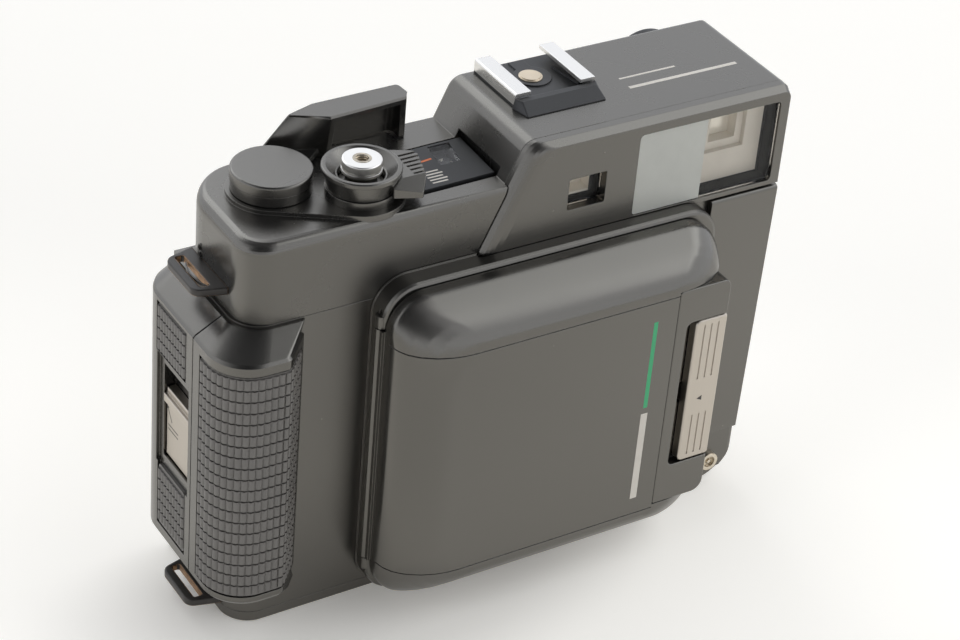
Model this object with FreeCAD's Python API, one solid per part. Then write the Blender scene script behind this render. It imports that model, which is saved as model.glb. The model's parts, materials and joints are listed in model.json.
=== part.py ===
"""Medium format folding camera, closed, standing on its base.

Millimetres. x runs to the right seen from the front, y to the back, z up.
The origin is the mouth of the tripod socket, in the plane of the base.
"""
import FreeCAD, Part
import math
import os

# Body box
BODY_RIGHT = 72.0
BOX_LEFT = -64.0
BODY_FRONT = -15.5
CHASSIS_BACK = 15.2
BACK = 19.0
BASE_T = 3.0
CHASSIS_TOP = 80.4
CORNER_R = 7.0
FOOT_R = 11.0
SEAM = 0.1
SIDE_PANEL_RISE = 1.6
SIDE_PANEL_LOW = 14.0

# Grip and side of the back door
GRIP_LEFT = -71.3
GRIP_FRONT = -23.4
GRIP_RIGHT = -49.3
GRIP_LEAN = 0.89
GRIP_CORNER_R = 9.5
SIDE_SPLIT_Y = -7.67
SIDE_LOW = 13.2
SIDE_HIGH = 76.5
SHOULDER_RISE = 3.5
SHOULDER_LIP = 0.8
UNDERCUT_DROP = 2.8
UNDERCUT_IN = 4.0
SIDE_GAP = 0.35
PAD_T = 0.9
PAD_PROUD = 0.35
PAD_LOW = 15.0
PAD_HIGH = 74.0
PAD_SIDE_Y = -10.6
PAD_END_X = -50.6
PADS = ((62.5, 75.3, -4.4, 9.9), (16.0, 33.0, -5.0, 8.8))

# Top cover and finder housing
COVER_BACK = 17.9
COVER_WALL = 1.8
COVER_IN = 0.6
DECK_TOP = CHASSIS_TOP + 19.5
PLATEAU_T = 1.0
HOUSE_LOW = CHASSIS_TOP + 3.9
HOUSE_TOP = DECK_TOP + 9.55
HOUSE_LEFT_LOW = -8.1
HOUSE_LEFT_TOP = 3.5
HOUSE_R = 4.0
DECK_ROLL = 2.6
DECK_EDGE = 0.8
DECK_BACK_R = 13.0
BEZEL_FRONT = -17.1
BEZEL_JOINT = -13.7
BEVEL_DEEP = 1.5
BEVEL_TOP = 1.3
BEVEL_LEFT = 4.4
TUNNEL_BACK = -12.5
PANE_T = 1.0
WINDOW = (31.3, BODY_RIGHT - 2.7, HOUSE_LOW + 1.1, HOUSE_TOP - 3.45)
FROST_RIGHT = 49.5
SMALL_WINDOW = (13.6, 23.3, HOUSE_TOP - 18.2, HOUSE_TOP - 10.35)
OBJECTIVE_IN = 5.9
OBJECTIVE_UP = 8.4
EYE_X = 58.0
EYE_Z = HOUSE_TOP - 11.65
EYE_R = 9.5
EYE_OUT = 4.6

# Strap lugs: wall, outer edge, height, front and back
LUG_T = 1.6
UPPER_LUG = (BOX_LEFT + COVER_IN, GRIP_LEFT + 0.8, CHASSIS_TOP + 4.6, -7.6, 10.0)
LOWER_LUG = (BOX_LEFT, GRIP_LEFT - 0.2, BASE_T + 0.2, -9.6, 7.4)

# Frame counter: corners of the panel and of its window, and the dial below
COUNTER = ((-18.3, -9.5), (-0.8, -9.1), (-0.2, 6.6), (-15.6, 6.2))
COUNTER_WINDOW = ((-10.1, -1.9), (-5.2, -1.9), (-3.6, 5.6), (-8.9, 5.7))
DIAL_X = -11.0
DIAL_Y = -1.0
DIAL_R = 7.5

# Lens, gate and film
LENS_X = 6.0
LENS_Z = 43.7
DARK_HALF_W = 30.0
MOUTH_HALF = 32.0
MOUTH_DEEP = 6.0
GATE_FRONT = 8.0
GATE_BACK = 11.0
GATE_W = 41.5
GATE_H = 56.0
GATE_PLATE_HALF_W = 31.2
GATE_PLATE_HALF_H = GATE_H / 2 + 4.0
DARK_HALF_H = GATE_H / 2 + 2.5
RAIL_T = 0.8
SPOOL_Y = 1.8
CHAMBER_R = 13.3
CHAMBER_LOW = 11.0
CHAMBER_HIGH = 77.8
TAKEUP_X = -48.0
SUPPLY_X = 56.0
ROLLER_X = (-28.6, 40.6)
ROLLER_R = 2.8
ROLLER_GAP = 0.4
JOURNAL_R = 1.2
RUN = 0.05

# Front door and its frame
FRAME_LEFT = -33.3
FRAME_RIGHT = 53.0
FRAME_LOW = 2.4
FRAME_TOP = 85.0
FRAME_FRONT = -20.9
FRAME_R = 8.0
DOOR_LEFT = -33.0
DOOR_RIGHT = 51.0
DOOR_LOW = 3.5
DOOR_TOP = 84.0
DOOR_REAR = -21.3
DOOR_FRONT = -33.9
DOOR_WALL = 2.0
DOOR_CORNER_R = 9.0
DOOR_EDGE_Y = -24.2
DOOR_RISE = 9.0
LINE_LOW = 14.2
LINE_TOP = 73.2
HINGE_X = -32.9
HINGE_Y = -19.2
HINGE_PIN_R = 0.6
KNUCKLE_R = 1.3
HINGE_LOW = 10.0
HINGE_TOP = 78.5
KNUCKLE_LEN = 3.0
HINGE_ROOM = 0.5

# Latch block on the door
BLOCK_LEFT = 34.8
BLOCK_RIGHT = 48.8
BLOCK_LOW = 15.0
BLOCK_TOP = 74.2
BAR_LEFT = 40.6
BAR_RIGHT = 49.2
BAR_LOW = 25.5
BAR_TOP = 64.6
BAR_T = 2.4
BAR_TRAVEL = 2.2
TONGUE_LEFT = 41.0
TONGUE_T = 3.0
TONGUE_HALF = 2.6

# Lens unit, folded
STANDARD_FRONT = -13.6
STANDARD_T = 2.0
STANDARD_HALF = 30.6
BARREL_R = 24.5
BARREL_FRONT = -30.3
RING_R = 24.5
BARREL_CORE_R = 21.0
RINGS = {"aperture_ring": (-21.3, -18.9), "shutter_ring": (-24.5, -21.5), "focus_ring": (-29.3, -24.7)}
BELLOWS_FOLDS = 8
BELLOWS_OUT = 28.6
BELLOWS_IN = 25.4

# Controls on the deck
WIND_X = -48.0
WIND_Y = 4.1
WIND_R = 8.9
WIND_TOP = DECK_TOP + 6.0
HUB_LOW = DECK_TOP + 1.2
HUB_HIGH = DECK_TOP + 3.5
LEVER_TOP = DECK_TOP + 10.1
LEVER_FOOT = DECK_TOP + 0.5
LEVER_BACK = WIND_Y + 14.1
LEVER_END = WIND_X + 37.8
BUTTON_X = -31.9
BUTTON_Y = -5.6
COLLAR_R = 8.67
COLLAR_TOP = DECK_TOP + 8.0
COLLAR_BASE = DECK_TOP + PLATEAU_T + 2.0
TAB_T = 3.0
BUTTON_R = 4.36
BUTTON_TOP = DECK_TOP + 9.5
RELEASE_THREAD_R = 1.45
RELEASE_THREAD_LEN = 5.0

# Accessory shoe
SHOE_X = 18.95
SHOE_FRONT = -0.6
SHOE_BACK = 16.6
SHOE_HALF = 10.4
SHOE_CHANNEL_HALF = 9.35
SHOE_LIP_HALF = 6.45
SHOE_FLOOR = HOUSE_TOP + 0.5
SHOE_LIP_LOW = SHOE_FLOOR + 1.95
SHOE_TOP = SHOE_LIP_LOW + 0.9
STOP_DEEP = 5.0
CONTACT_Y = 8.8

# Back door, its hinge and its catch
BACK_HINGE_X = 69.2
BACK_HINGE_Y = 17.6
BACK_KNUCKLE_R = 2.4
BACK_PIN_R = 1.0
BACK_LOW = 3.3
BACK_HIGH = 80.1
CATCH_TOP = 53.8

# Base fittings
SOCKET_R = 3.175
SOCKET_OUT_R = 6.5
SOCKET_DEEP = 7.0
CAP_X = 22.0
CAP_R = 7.5
SCREW_R = 0.9
SCREW_HEAD_R = 1.6
SCREW_HEAD_T = 0.9
SCREW_GRIP = 3.5

UP = FreeCAD.Vector(0, 0, 1)
AXES = {"x": FreeCAD.Vector(1, 0, 0), "y": FreeCAD.Vector(0, 1, 0), "z": UP}


def vec(x, y, z):
    return FreeCAD.Vector(x, y, z)


def place(axis, a, b, at):
    """Point with the two in-plane coordinates a and b, at a height on the axis."""
    if axis == "x":
        return vec(at, a, b)
    if axis == "y":
        return vec(a, at, b)
    return vec(a, b, at)


def box(x0, x1, y0, y1, z0, z1):
    return Part.makeBox(x1 - x0, y1 - y0, z1 - z0, vec(x0, y0, z0))


def rod(x, y, z0, z1, r):
    return Part.makeCylinder(r, z1 - z0, vec(x, y, z0), UP)


def rod_y(x, z, y0, y1, r):
    return Part.makeCylinder(r, y1 - y0, vec(x, y0, z), AXES["y"])


def outline(corners, axis, at):
    """Closed wire through corners (a, b, radius), each rounded by its radius."""
    stops = []
    for i, (a, b, r) in enumerate(corners):
        here = vec(a, b, 0)
        before = vec(corners[i - 1][0], corners[i - 1][1], 0) - here
        after = vec(*corners[(i + 1) % len(corners)][:2], 0) - here
        before.normalize()
        after.normalize()
        if r == 0:
            stops.append((here, None, here))
            continue
        half = before.getAngle(after) / 2
        reach = r / math.tan(half)
        inward = before + after
        inward.normalize()
        centre = here + inward * (r / math.sin(half))
        stops.append((here + before * reach, centre - inward * r, here + after * reach))
    edges = []
    for i, (start, middle, end) in enumerate(stops):
        following = stops[(i + 1) % len(stops)][0]
        points = [place(axis, p.x, p.y, at) for p in (start, middle or start, end, following)]
        if middle:
            edges.append(Part.Arc(points[0], points[1], points[2]).toShape())
        if points[2].distanceToPoint(points[3]) > 1e-6:
            edges.append(Part.makeLine(points[2], points[3]))
    return Part.Wire(edges)


def slab(corners, axis, low, high):
    """Rounded outline pushed along an axis, from low to high."""
    return Part.Face(outline(corners, axis, low)).extrude(AXES[axis] * (high - low))


def frustum(axis, levels):
    """Ruled solid through outlines given as (height, corners)."""
    return Part.makeLoft([outline(corners, axis, at) for at, corners in levels], True, True)


def rect(a0, a1, b0, b1, r=0):
    return [(a0, b0, r), (a1, b0, r), (a1, b1, r), (a0, b1, r)]


def tube(axis_of, x, y, low, high, outer, inner):
    return axis_of(x, y, low, high, outer).cut(axis_of(x, y, low - 1, high + 1, inner))


def soften(shape, radius, wanted):
    """Round the edges whose middle point passes the test."""
    edges = []
    for edge in shape.Edges:
        middle = edge.valueAt((edge.FirstParameter + edge.LastParameter) / 2)
        if wanted(middle):
            edges.append(edge)
    return shape.makeFillet(radius, edges)


def near(value, target, reach=0.05):
    return abs(value - target) < reach


def join(shapes):
    return shapes[0].multiFuse(shapes[1:]).removeSplitter()


# Chassis and base

def body_plan(grow=0.0, back=CHASSIS_BACK):
    return [
        (BOX_LEFT - grow, back, 0),
        (BOX_LEFT - grow, BODY_FRONT - grow, CORNER_R),
        (BODY_RIGHT + grow, BODY_FRONT - grow, 1.6),
        (BODY_RIGHT + grow, back, 0),
    ]


def front_silhouette():
    """What the body fills seen from the front: one lower corner is rounded."""
    corners = [
        (GRIP_LEFT, 0, 0),
        (BODY_RIGHT, 0, FOOT_R),
        (BODY_RIGHT, HOUSE_TOP, 0),
        (GRIP_LEFT, HOUSE_TOP, 0),
    ]
    return slab(corners, "y", BODY_FRONT - 10, BACK + 10)


def chamber(x):
    bore = rod(x, SPOOL_Y, CHAMBER_LOW, CHAMBER_HIGH, CHAMBER_R)
    way_in = box(x - CHAMBER_R, x + CHAMBER_R, SPOOL_Y, CHASSIS_BACK + 1, CHAMBER_LOW, CHAMBER_HIGH)
    return bore.fuse(way_in)


def side_panel():
    """Raised panel between the front frame and the right end, deeper towards its top."""
    top = HOUSE_LOW - 0.9
    left = FRAME_RIGHT + 0.7
    panel = frustum("z", [
        (SIDE_PANEL_LOW, rect(left, BODY_RIGHT, BODY_FRONT - 0.12, BODY_FRONT - SEAM)),
        (top, rect(left, BODY_RIGHT, BODY_FRONT - SIDE_PANEL_RISE, BODY_FRONT - SEAM)),
    ])
    panel = soften(panel, 0.9, lambda p: near(p.z, top) and near(p.y, BODY_FRONT - SIDE_PANEL_RISE))
    return panel.fuse(box(left, BODY_RIGHT - 1.6, BODY_FRONT - 0.2, BODY_FRONT + 0.5,
                          SIDE_PANEL_LOW + 4, CHASSIS_TOP - 0.5))


def main_body():
    body = slab(body_plan(), "z", BASE_T, CHASSIS_TOP).common(front_silhouette())
    body = body.fuse(side_panel())
    wall = 3.0
    service_top = CHAMBER_LOW - 3.0
    service = box(BOX_LEFT + wall, BODY_RIGHT - 2 * wall, BODY_FRONT + wall, CHASSIS_BACK - wall,
                  BASE_T, service_top)
    service = service.cut(rod(0, 0, BASE_T, service_top, SOCKET_OUT_R + 3))
    cuts = [chamber(TAKEUP_X), chamber(SUPPLY_X), service]
    cuts.append(box(LENS_X - DARK_HALF_W, LENS_X + DARK_HALF_W, BODY_FRONT - 1, CHASSIS_BACK + 1,
                    LENS_Z - DARK_HALF_H, LENS_Z + DARK_HALF_H))
    cuts.append(box(LENS_X - MOUTH_HALF, LENS_X + MOUTH_HALF, BODY_FRONT - 1,
                    BODY_FRONT + MOUTH_DEEP, LENS_Z - MOUTH_HALF, LENS_Z + MOUTH_HALF))
    cuts.append(box(LENS_X - GATE_PLATE_HALF_W, LENS_X + GATE_PLATE_HALF_W, GATE_FRONT,
                    CHASSIS_BACK + 1, LENS_Z - GATE_PLATE_HALF_H, LENS_Z + GATE_PLATE_HALF_H))
    cuts.append(box(TAKEUP_X, SUPPLY_X, GATE_BACK, CHASSIS_BACK + 1, CHAMBER_LOW, CHAMBER_HIGH))
    for x in ROLLER_X:
        groove = ROLLER_R + ROLLER_GAP
        y = GATE_BACK - ROLLER_R
        cuts.append(rod(x, y, CHAMBER_LOW, CHAMBER_HIGH, groove))
        cuts.append(box(x - groove, x + groove, y, CHASSIS_BACK, CHAMBER_LOW, CHAMBER_HIGH))
        cuts.append(rod(x, y, CHAMBER_LOW - 1.6, CHAMBER_HIGH + 1.6, JOURNAL_R + RUN))
    for x in (TAKEUP_X, SUPPLY_X):
        cuts.append(rod(x, SPOOL_Y, CHAMBER_HIGH - 1, CHASSIS_TOP + 1, 3.0 + RUN))
        cuts.append(rod(x, SPOOL_Y, service_top - 1, CHAMBER_LOW + 1, 2.6 + RUN))
    cuts.append(rod(0, 0, BASE_T - 1, SOCKET_DEEP + 0.5, SOCKET_OUT_R))
    for x, y in base_screw_spots():
        cuts.append(rod(x, y, BASE_T - 1, BASE_T + SCREW_GRIP, SCREW_R))
    return body.cut(cuts).removeSplitter()


def base_cover():
    plate = slab(body_plan(back=COVER_BACK), "z", 0, BASE_T - SEAM).common(front_silhouette())
    plate = plate.makeChamfer(0.5, [e for e in plate.Edges if near(e.CenterOfMass.z, 0, 0.01)
                                    and e.BoundBox.ZLength < 0.01])
    holes = [rod(0, 0, -1, BASE_T + 1, SOCKET_OUT_R + RUN)]
    holes.append(rod(CAP_X, 0, -1, BASE_T + 1, CAP_R + 0.1))
    for x in (TAKEUP_X, SUPPLY_X):
        holes.append(rod(x, SPOOL_Y, -1, BASE_T + 1, 6.1))
    for x, y in base_screw_spots():
        holes.append(rod(x, y, -1, SCREW_HEAD_T + 0.3, SCREW_HEAD_R + 0.1))
        holes.append(rod(x, y, -1, BASE_T + 1, SCREW_R))
    return plate.cut(holes)


def tripod_socket():
    """Threaded steel insert, pressed into the chassis and flush with the base."""
    body = rod(0, 0, 0, SOCKET_DEEP + 0.4, SOCKET_OUT_R)
    bore = rod(0, 0, -1, SOCKET_DEEP, SOCKET_R)
    return body.cut(bore)


def battery_cap():
    cap = rod(CAP_X, 0, 0.2, BASE_T + 1.5, CAP_R)
    slot = box(CAP_X - 5, CAP_X + 5, -0.8, 0.8, 0, 1.2)
    return cap.cut(slot)


def base_screw_spots():
    rows = (BODY_FRONT + 1.9, CHASSIS_BACK - 1.9)
    return [(x, y) for x in (BOX_LEFT + 12, -20.0, 20.0, BODY_RIGHT - 14) for y in rows]


def base_screws():
    screws = []
    for x, y in base_screw_spots():
        head = rod(x, y, 0.3, 0.3 + SCREW_HEAD_T, SCREW_HEAD_R)
        slot = box(x - 2, x + 2, y - 0.2, y + 0.2, 0, 0.7)
        shank = rod(x, y, 0.3 + SCREW_HEAD_T, BASE_T + SCREW_GRIP, SCREW_R)
        screws.append(join([head, shank]).cut(slot))
    return Part.makeCompound(screws)


# Film path

def spool_key(x):
    """Driving key over a film chamber, with its shaft and gear above the chassis."""
    shaft = rod(x, SPOOL_Y, CHAMBER_HIGH - 1.0, CHASSIS_TOP + 3, 3.0)
    blade = box(x - 3.0, x + 3.0, SPOOL_Y - 0.7, SPOOL_Y + 0.7, CHAMBER_HIGH - 3.0, CHAMBER_HIGH - 1)
    gear = rod(x, SPOOL_Y, CHASSIS_TOP + 0.3, CHASSIS_TOP + 2.3, 7.0)
    return join([shaft, blade, gear])


def spool_pin(x):
    """Pull-out pin under a film chamber, with its finger disc in the base."""
    pin = rod(x, SPOOL_Y, 2.2, CHAMBER_LOW + 2.5, 2.6)
    disc = rod(x, SPOOL_Y, 0.4, 2.2, 6.0)
    grip = box(x - 6, x + 6, SPOOL_Y - 0.7, SPOOL_Y + 0.7, 0, 1.2)
    return join([pin, disc]).cut(grip)


def film_roller(x):
    y = GATE_BACK - ROLLER_R
    body = rod(x, y, CHAMBER_LOW + 0.3, CHAMBER_HIGH - 0.3, ROLLER_R)
    journals = rod(x, y, CHAMBER_LOW - 1.2, CHAMBER_HIGH + 1.2, JOURNAL_R)
    return join([body, journals])


def film_gate():
    gap = SEAM
    plate = box(LENS_X - GATE_PLATE_HALF_W + gap, LENS_X + GATE_PLATE_HALF_W - gap,
                GATE_FRONT, GATE_BACK - 0.2,
                LENS_Z - GATE_PLATE_HALF_H + gap, LENS_Z + GATE_PLATE_HALF_H - gap)
    opening = frustum("y", [
        (GATE_FRONT - 0.1, rect(LENS_X - GATE_W / 2 - 2, LENS_X + GATE_W / 2 + 2,
                                LENS_Z - GATE_H / 2 - 2, LENS_Z + GATE_H / 2 + 2)),
        (GATE_BACK, rect(LENS_X - GATE_W / 2, LENS_X + GATE_W / 2,
                         LENS_Z - GATE_H / 2, LENS_Z + GATE_H / 2)),
    ])
    pieces = [plate.cut(opening)]
    for side in (-1, 1):
        middle = LENS_Z + side * (GATE_H / 2 + 2.2)
        pieces.append(box(LENS_X - GATE_PLATE_HALF_W + gap, LENS_X + GATE_PLATE_HALF_W - gap,
                          GATE_BACK - 0.3, GATE_BACK + RAIL_T, middle - 0.8, middle + 0.8))
    return join(pieces)


# Top cover and finder

def house_corners(low=HOUSE_LOW, inset=0.0, top=0.0, left=0.0):
    """Finder housing seen from the front, its left side leaning."""
    lean = (HOUSE_LEFT_TOP - HOUSE_LEFT_LOW) / (HOUSE_TOP - HOUSE_LOW)
    shift = left * math.sqrt(1 + lean * lean)
    z_top = HOUSE_TOP - top
    x_low = HOUSE_LEFT_LOW + lean * (low - HOUSE_LOW) + shift
    x_top = HOUSE_LEFT_TOP + lean * (z_top - HOUSE_TOP) + shift
    return [
        (x_low, low, 0),
        (BODY_RIGHT - inset, low, 0),
        (BODY_RIGHT - inset, z_top, 1.8),
        (x_top, z_top, HOUSE_R),
    ]


def deck_plan(inset=0.0):
    r = CORNER_R - inset * 0.6
    left = BOX_LEFT + COVER_IN + inset
    return [
        (left, COVER_BACK - inset, DECK_BACK_R - inset * 0.6),
        (left, BODY_FRONT + inset, r),
        (BODY_RIGHT - inset, BODY_FRONT + inset, 1.6),
        (BODY_RIGHT - inset, COVER_BACK - inset, 3.0),
    ]


def deck_block(low):
    """Deck with a wide rolled edge round its left side, narrowing along the front."""
    start = DECK_TOP - DECK_ROLL
    levels = [(low, 0.0), (start, 0.0)]
    for t in (0.25, 0.45, 0.62, 0.76, 0.87, 0.95, 1.0):
        levels.append((start + DECK_ROLL * t, 1 - math.sqrt(1 - t * t)))
    plans = []
    left, front, x_end = BOX_LEFT + COVER_IN, BODY_FRONT, HOUSE_LEFT_LOW + 4
    for z, round_in in levels:
        wide, slim = DECK_ROLL * round_in, DECK_EDGE * round_in
        plans.append((z, [
            (left + wide, COVER_BACK - slim, DECK_BACK_R - wide),
            (left + wide, front + wide, CORNER_R - wide * 0.6),
            (x_end, front + slim, 0),
            (BODY_RIGHT, front + slim, 1.6),
            (BODY_RIGHT, COVER_BACK - slim, 3.0),
        ]))
    return plans


def plateau(low, high, grow):
    """Raised area under the wind disc and the button collar: two circles and their tangents."""
    a = rod(WIND_X, WIND_Y, low, high, WIND_R + grow)
    b = rod(BUTTON_X, BUTTON_Y, low, high, COLLAR_R + grow)
    away = vec(BUTTON_X - WIND_X, BUTTON_Y - WIND_Y, 0)
    across = vec(-away.y, away.x, 0)
    across.normalize()
    ends = []
    for side in (1, -1):
        ends.append(vec(WIND_X, WIND_Y, 0) + across * (side * (WIND_R + grow)))
    for side in (-1, 1):
        ends.append(vec(BUTTON_X, BUTTON_Y, 0) + across * (side * (COLLAR_R + grow)))
    web = slab([(p.x, p.y, 0) for p in ends], "z", low, high)
    return join([a, b, web])


def top_cover():
    low = CHASSIS_TOP + SEAM
    deck = frustum("z", deck_block(low))
    in_front = slab(house_corners(), "y", BODY_FRONT - 5, BEZEL_JOINT)
    house = slab(house_corners(), "y", BEZEL_JOINT + SEAM, COVER_BACK)
    house = soften(house, 1.2, lambda p: near(p.y, COVER_BACK) and p.z > DECK_TOP)
    outer = join([deck.cut(in_front), house, plateau(DECK_TOP - 0.5, DECK_TOP + PLATEAU_T, 0.9)])
    wall = COVER_WALL
    room = slab(deck_plan(wall), "z", low - 1, DECK_TOP - wall)
    room = room.cut(slab(house_corners(HOUSE_LOW - wall, left=-wall), "y", BODY_FRONT - 5, BEZEL_JOINT + 1))
    upper = slab(house_corners(HOUSE_LOW, wall, wall, wall), "y", BEZEL_JOINT - 1, COVER_BACK - wall)
    cuts = [room, upper]
    cuts.append(rod(WIND_X, WIND_Y, DECK_TOP - 5, DECK_TOP + 5, 3.5 + RUN))
    cuts.append(rod(BUTTON_X, BUTTON_Y, DECK_TOP - 5, DECK_TOP + 5, 3.0 + RUN))
    cuts.append(counter_plate(0.1, DECK_TOP - 0.9, DECK_TOP + 2))
    cuts.append(counter_plate(-1.0, DECK_TOP - 5, DECK_TOP + 2))
    cuts.append(rod_y(EYE_X, EYE_Z, COVER_BACK - 5, COVER_BACK + 5, EYE_R - 1.5))
    return outer.cut(cuts).removeSplitter()


def moved(points, grow):
    """The same outline pushed out from its middle by grow along each axis."""
    cx = sum(p[0] for p in points) / len(points)
    cy = sum(p[1] for p in points) / len(points)
    return [(x + math.copysign(grow, x - cx), y + math.copysign(grow, y - cy), 0) for x, y in points]


def counter_plate(grow, low, high):
    return slab(moved(COUNTER, grow), "z", low, high)


def counter_panel():
    plate = counter_plate(0, DECK_TOP - 0.8, DECK_TOP + 0.4)
    return plate.cut(slab(moved(COUNTER_WINDOW, 0.05), "z", DECK_TOP - 2, DECK_TOP + 2))


def counter_window():
    return slab(moved(COUNTER_WINDOW, 0), "z", DECK_TOP - 0.8, DECK_TOP + 0.3)


def counter_dial():
    disc = rod(DIAL_X, DIAL_Y, DECK_TOP - 3.2, DECK_TOP - 2.4, DIAL_R)
    return disc.fuse(rod(DIAL_X, DIAL_Y, CHASSIS_TOP + 6, DECK_TOP - 3.2, 1.5))


def dial_post():
    post = rod(DIAL_X, DIAL_Y, CHASSIS_TOP, CHASSIS_TOP + 12, 4.0)
    return post.cut(rod(DIAL_X, DIAL_Y, CHASSIS_TOP + 5.7, CHASSIS_TOP + 13, 1.5 + RUN))


def finder_bezel():
    """Front of the finder housing: bevelled top, rounded left side, dark tunnels behind the windows."""
    deep = BEZEL_JOINT - BEZEL_FRONT
    start = 1 - BEVEL_DEEP / deep
    levels = []
    for t in (0.0, 0.3, start, 0.75, 0.87, 0.95, 1.0):
        round_in = BEVEL_LEFT * (1 - math.sqrt(1 - t * t))
        drop = BEVEL_TOP * max(0.0, (t - start) / (1 - start))
        levels.append((BEZEL_JOINT - deep * t, house_corners(HOUSE_LOW, 0.3 * t, drop, round_in)))
    levels.reverse()
    pieces = [frustum("y", levels)]
    cuts = []
    for spec, r in ((WINDOW, 1.1), (SMALL_WINDOW, 0.5)):
        x0, x1, z0, z1 = spec
        pieces.append(slab(rect(x0 - 0.8, x1 + 0.8, z0 - 0.8, z1 + 0.8, r + 0.4), "y",
                           BEZEL_JOINT - 0.3, TUNNEL_BACK))
        cuts.append(slab(rect(x0, x1, z0, z1, r), "y", BEZEL_FRONT - 1, TUNNEL_BACK + 1))
    return join(pieces).cut(cuts)


def window_pane(low, high, front, back):
    """Part of the large window between two x values, with the window's round corners."""
    x0, x1, z0, z1 = WINDOW
    whole = slab(rect(x0 + 0.1, x1 - 0.1, z0 + 0.1, z1 - 0.1, 1.0), "y", front, back)
    return whole.common(box(low, high, front - 1, back + 1, z0 - 1, z1 + 1))


def finder_window():
    return window_pane(FROST_RIGHT + 0.05, WINDOW[1], BEZEL_FRONT + 0.5, BEZEL_FRONT + 0.5 + PANE_T)


def frosted_window():
    return window_pane(WINDOW[0], FROST_RIGHT, BEZEL_FRONT + 0.3, BEZEL_FRONT + 0.5 + PANE_T)


def rangefinder_window():
    x0, x1, z0, z1 = SMALL_WINDOW
    front = BEZEL_FRONT + 2.0
    return slab(rect(x0 + 0.1, x1 - 0.1, z0 + 0.1, z1 - 0.1, 0.4), "y", front, front + PANE_T)


def finder_block():
    """Optical block behind the windows, its front stepped in towards the objective."""
    x0, x1, z0, z1 = WINDOW
    front = TUNNEL_BACK + 0.1
    back = COVER_BACK - COVER_WALL - 0.4
    block = box(x0 - 0.6, x1 + 0.6, front, back, z0 - 0.1, z1 + 0.6)
    inner_x, inner_z = x1 - OBJECTIVE_IN, z0 + OBJECTIVE_UP
    cuts = [box(FROST_RIGHT + 1, inner_x, front - 1, front + 1.2, inner_z, z1)]
    cuts.append(box(inner_x - 9.0, inner_x - 1.8, front - 1, front + 5.0, inner_z + 2.0, inner_z + 10.0))
    cuts.append(rod_y(EYE_X, EYE_Z, back - 4, back + 1, EYE_R - 3))
    legs = box(x0 + 1.5, x0 + 15, front + 3, back - 3, CHASSIS_TOP, z0 + 1.5)
    return join([block, legs]).cut(cuts)


def finder_objective():
    """Small lens set in the block's recess."""
    right, low = WINDOW[1] - OBJECTIVE_IN, WINDOW[2] + OBJECTIVE_UP
    front = TUNNEL_BACK + 0.1 + 5.0
    return box(right - 8.9, right - 1.9, front - 1.2, front, low + 2.1, low + 9.9)


def rangefinder_block():
    x0, x1, z0, z1 = SMALL_WINDOW
    front = TUNNEL_BACK + 0.1
    body = box(x0 - 2, x1 + 3, front, front + 14, z0 - 3, z1 + 4)
    foot = box(x0, x1, front + 2.5, front + 12, CHASSIS_TOP, z0 - 3)
    mouth = box(x0 + 1.5, x1 - 1.5, front - 1, front + 3, z0 + 1.5, z1 - 1.5)
    return join([body, foot]).cut(mouth)


def eyepiece_ring():
    """Round eyepiece frame on the back of the housing."""
    ring = rod_y(EYE_X, EYE_Z, COVER_BACK, COVER_BACK + EYE_OUT, EYE_R)
    ring = soften(ring, 1.0, lambda p: near(p.y, COVER_BACK + EYE_OUT))
    neck = rod_y(EYE_X, EYE_Z, COVER_BACK - COVER_WALL - 0.2, COVER_BACK, EYE_R - 1.55)
    bore = rod_y(EYE_X, EYE_Z, COVER_BACK - 5, COVER_BACK + 8, 6.0)
    seat = rod_y(EYE_X, EYE_Z, COVER_BACK + 0.6, COVER_BACK + 2.6, 7.0)
    return join([ring, neck]).cut([bore, seat])


def eyepiece_lens():
    return rod_y(EYE_X, EYE_Z, COVER_BACK + 0.7, COVER_BACK + 2.5, 6.95)


# Accessory shoe

def shoe_base():
    """Plate under the rails with its raised middle, two side springs and the sloping stop in front."""
    plate = box(SHOE_X - SHOE_HALF, SHOE_X + SHOE_HALF, SHOE_FRONT, SHOE_BACK, HOUSE_TOP, SHOE_FLOOR)
    foot, crest = SHOE_FRONT - STOP_DEEP, SHOE_FRONT - 1.7
    half = SHOE_HALF
    levels = []
    for z, y_front, side in ((HOUSE_TOP, foot, half), (HOUSE_TOP + 0.25, foot, half),
                             (SHOE_FLOOR + 1.65, crest, half - 0.5)):
        levels.append((z, [(SHOE_X - side - 0.6, SHOE_FRONT - 0.1, 0), (SHOE_X - side + 0.4, y_front, 0.3),
                           (SHOE_X + side - 0.2, y_front, 0.3), (SHOE_X + side + 0.6, SHOE_FRONT - 0.1, 0)]))
    tie = box(SHOE_X - 6, SHOE_X + 6, SHOE_FRONT - 1, SHOE_FRONT + 1, HOUSE_TOP, SHOE_FLOOR)
    middle = rod(SHOE_X, CONTACT_Y, SHOE_FLOOR - 0.2, SHOE_FLOOR + 0.3, 4.3)
    strip = box(SHOE_X - 1.9, SHOE_X + 1.9, CONTACT_Y, SHOE_BACK - 0.5, SHOE_FLOOR - 0.2, SHOE_FLOOR + 0.3)
    pieces = [plate, frustum("z", levels), tie, middle, strip]
    for side in (-1, 1):
        spring = [(SHOE_X + side * x, y, 0) for x, y in ((6.3, 11.0), (7.2, 11.4), (8.9, 2.2), (7.7, 1.9))]
        pieces.append(slab(spring, "z", SHOE_FLOOR - 0.2, SHOE_FLOOR + 0.35))
    return join(pieces)


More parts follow.
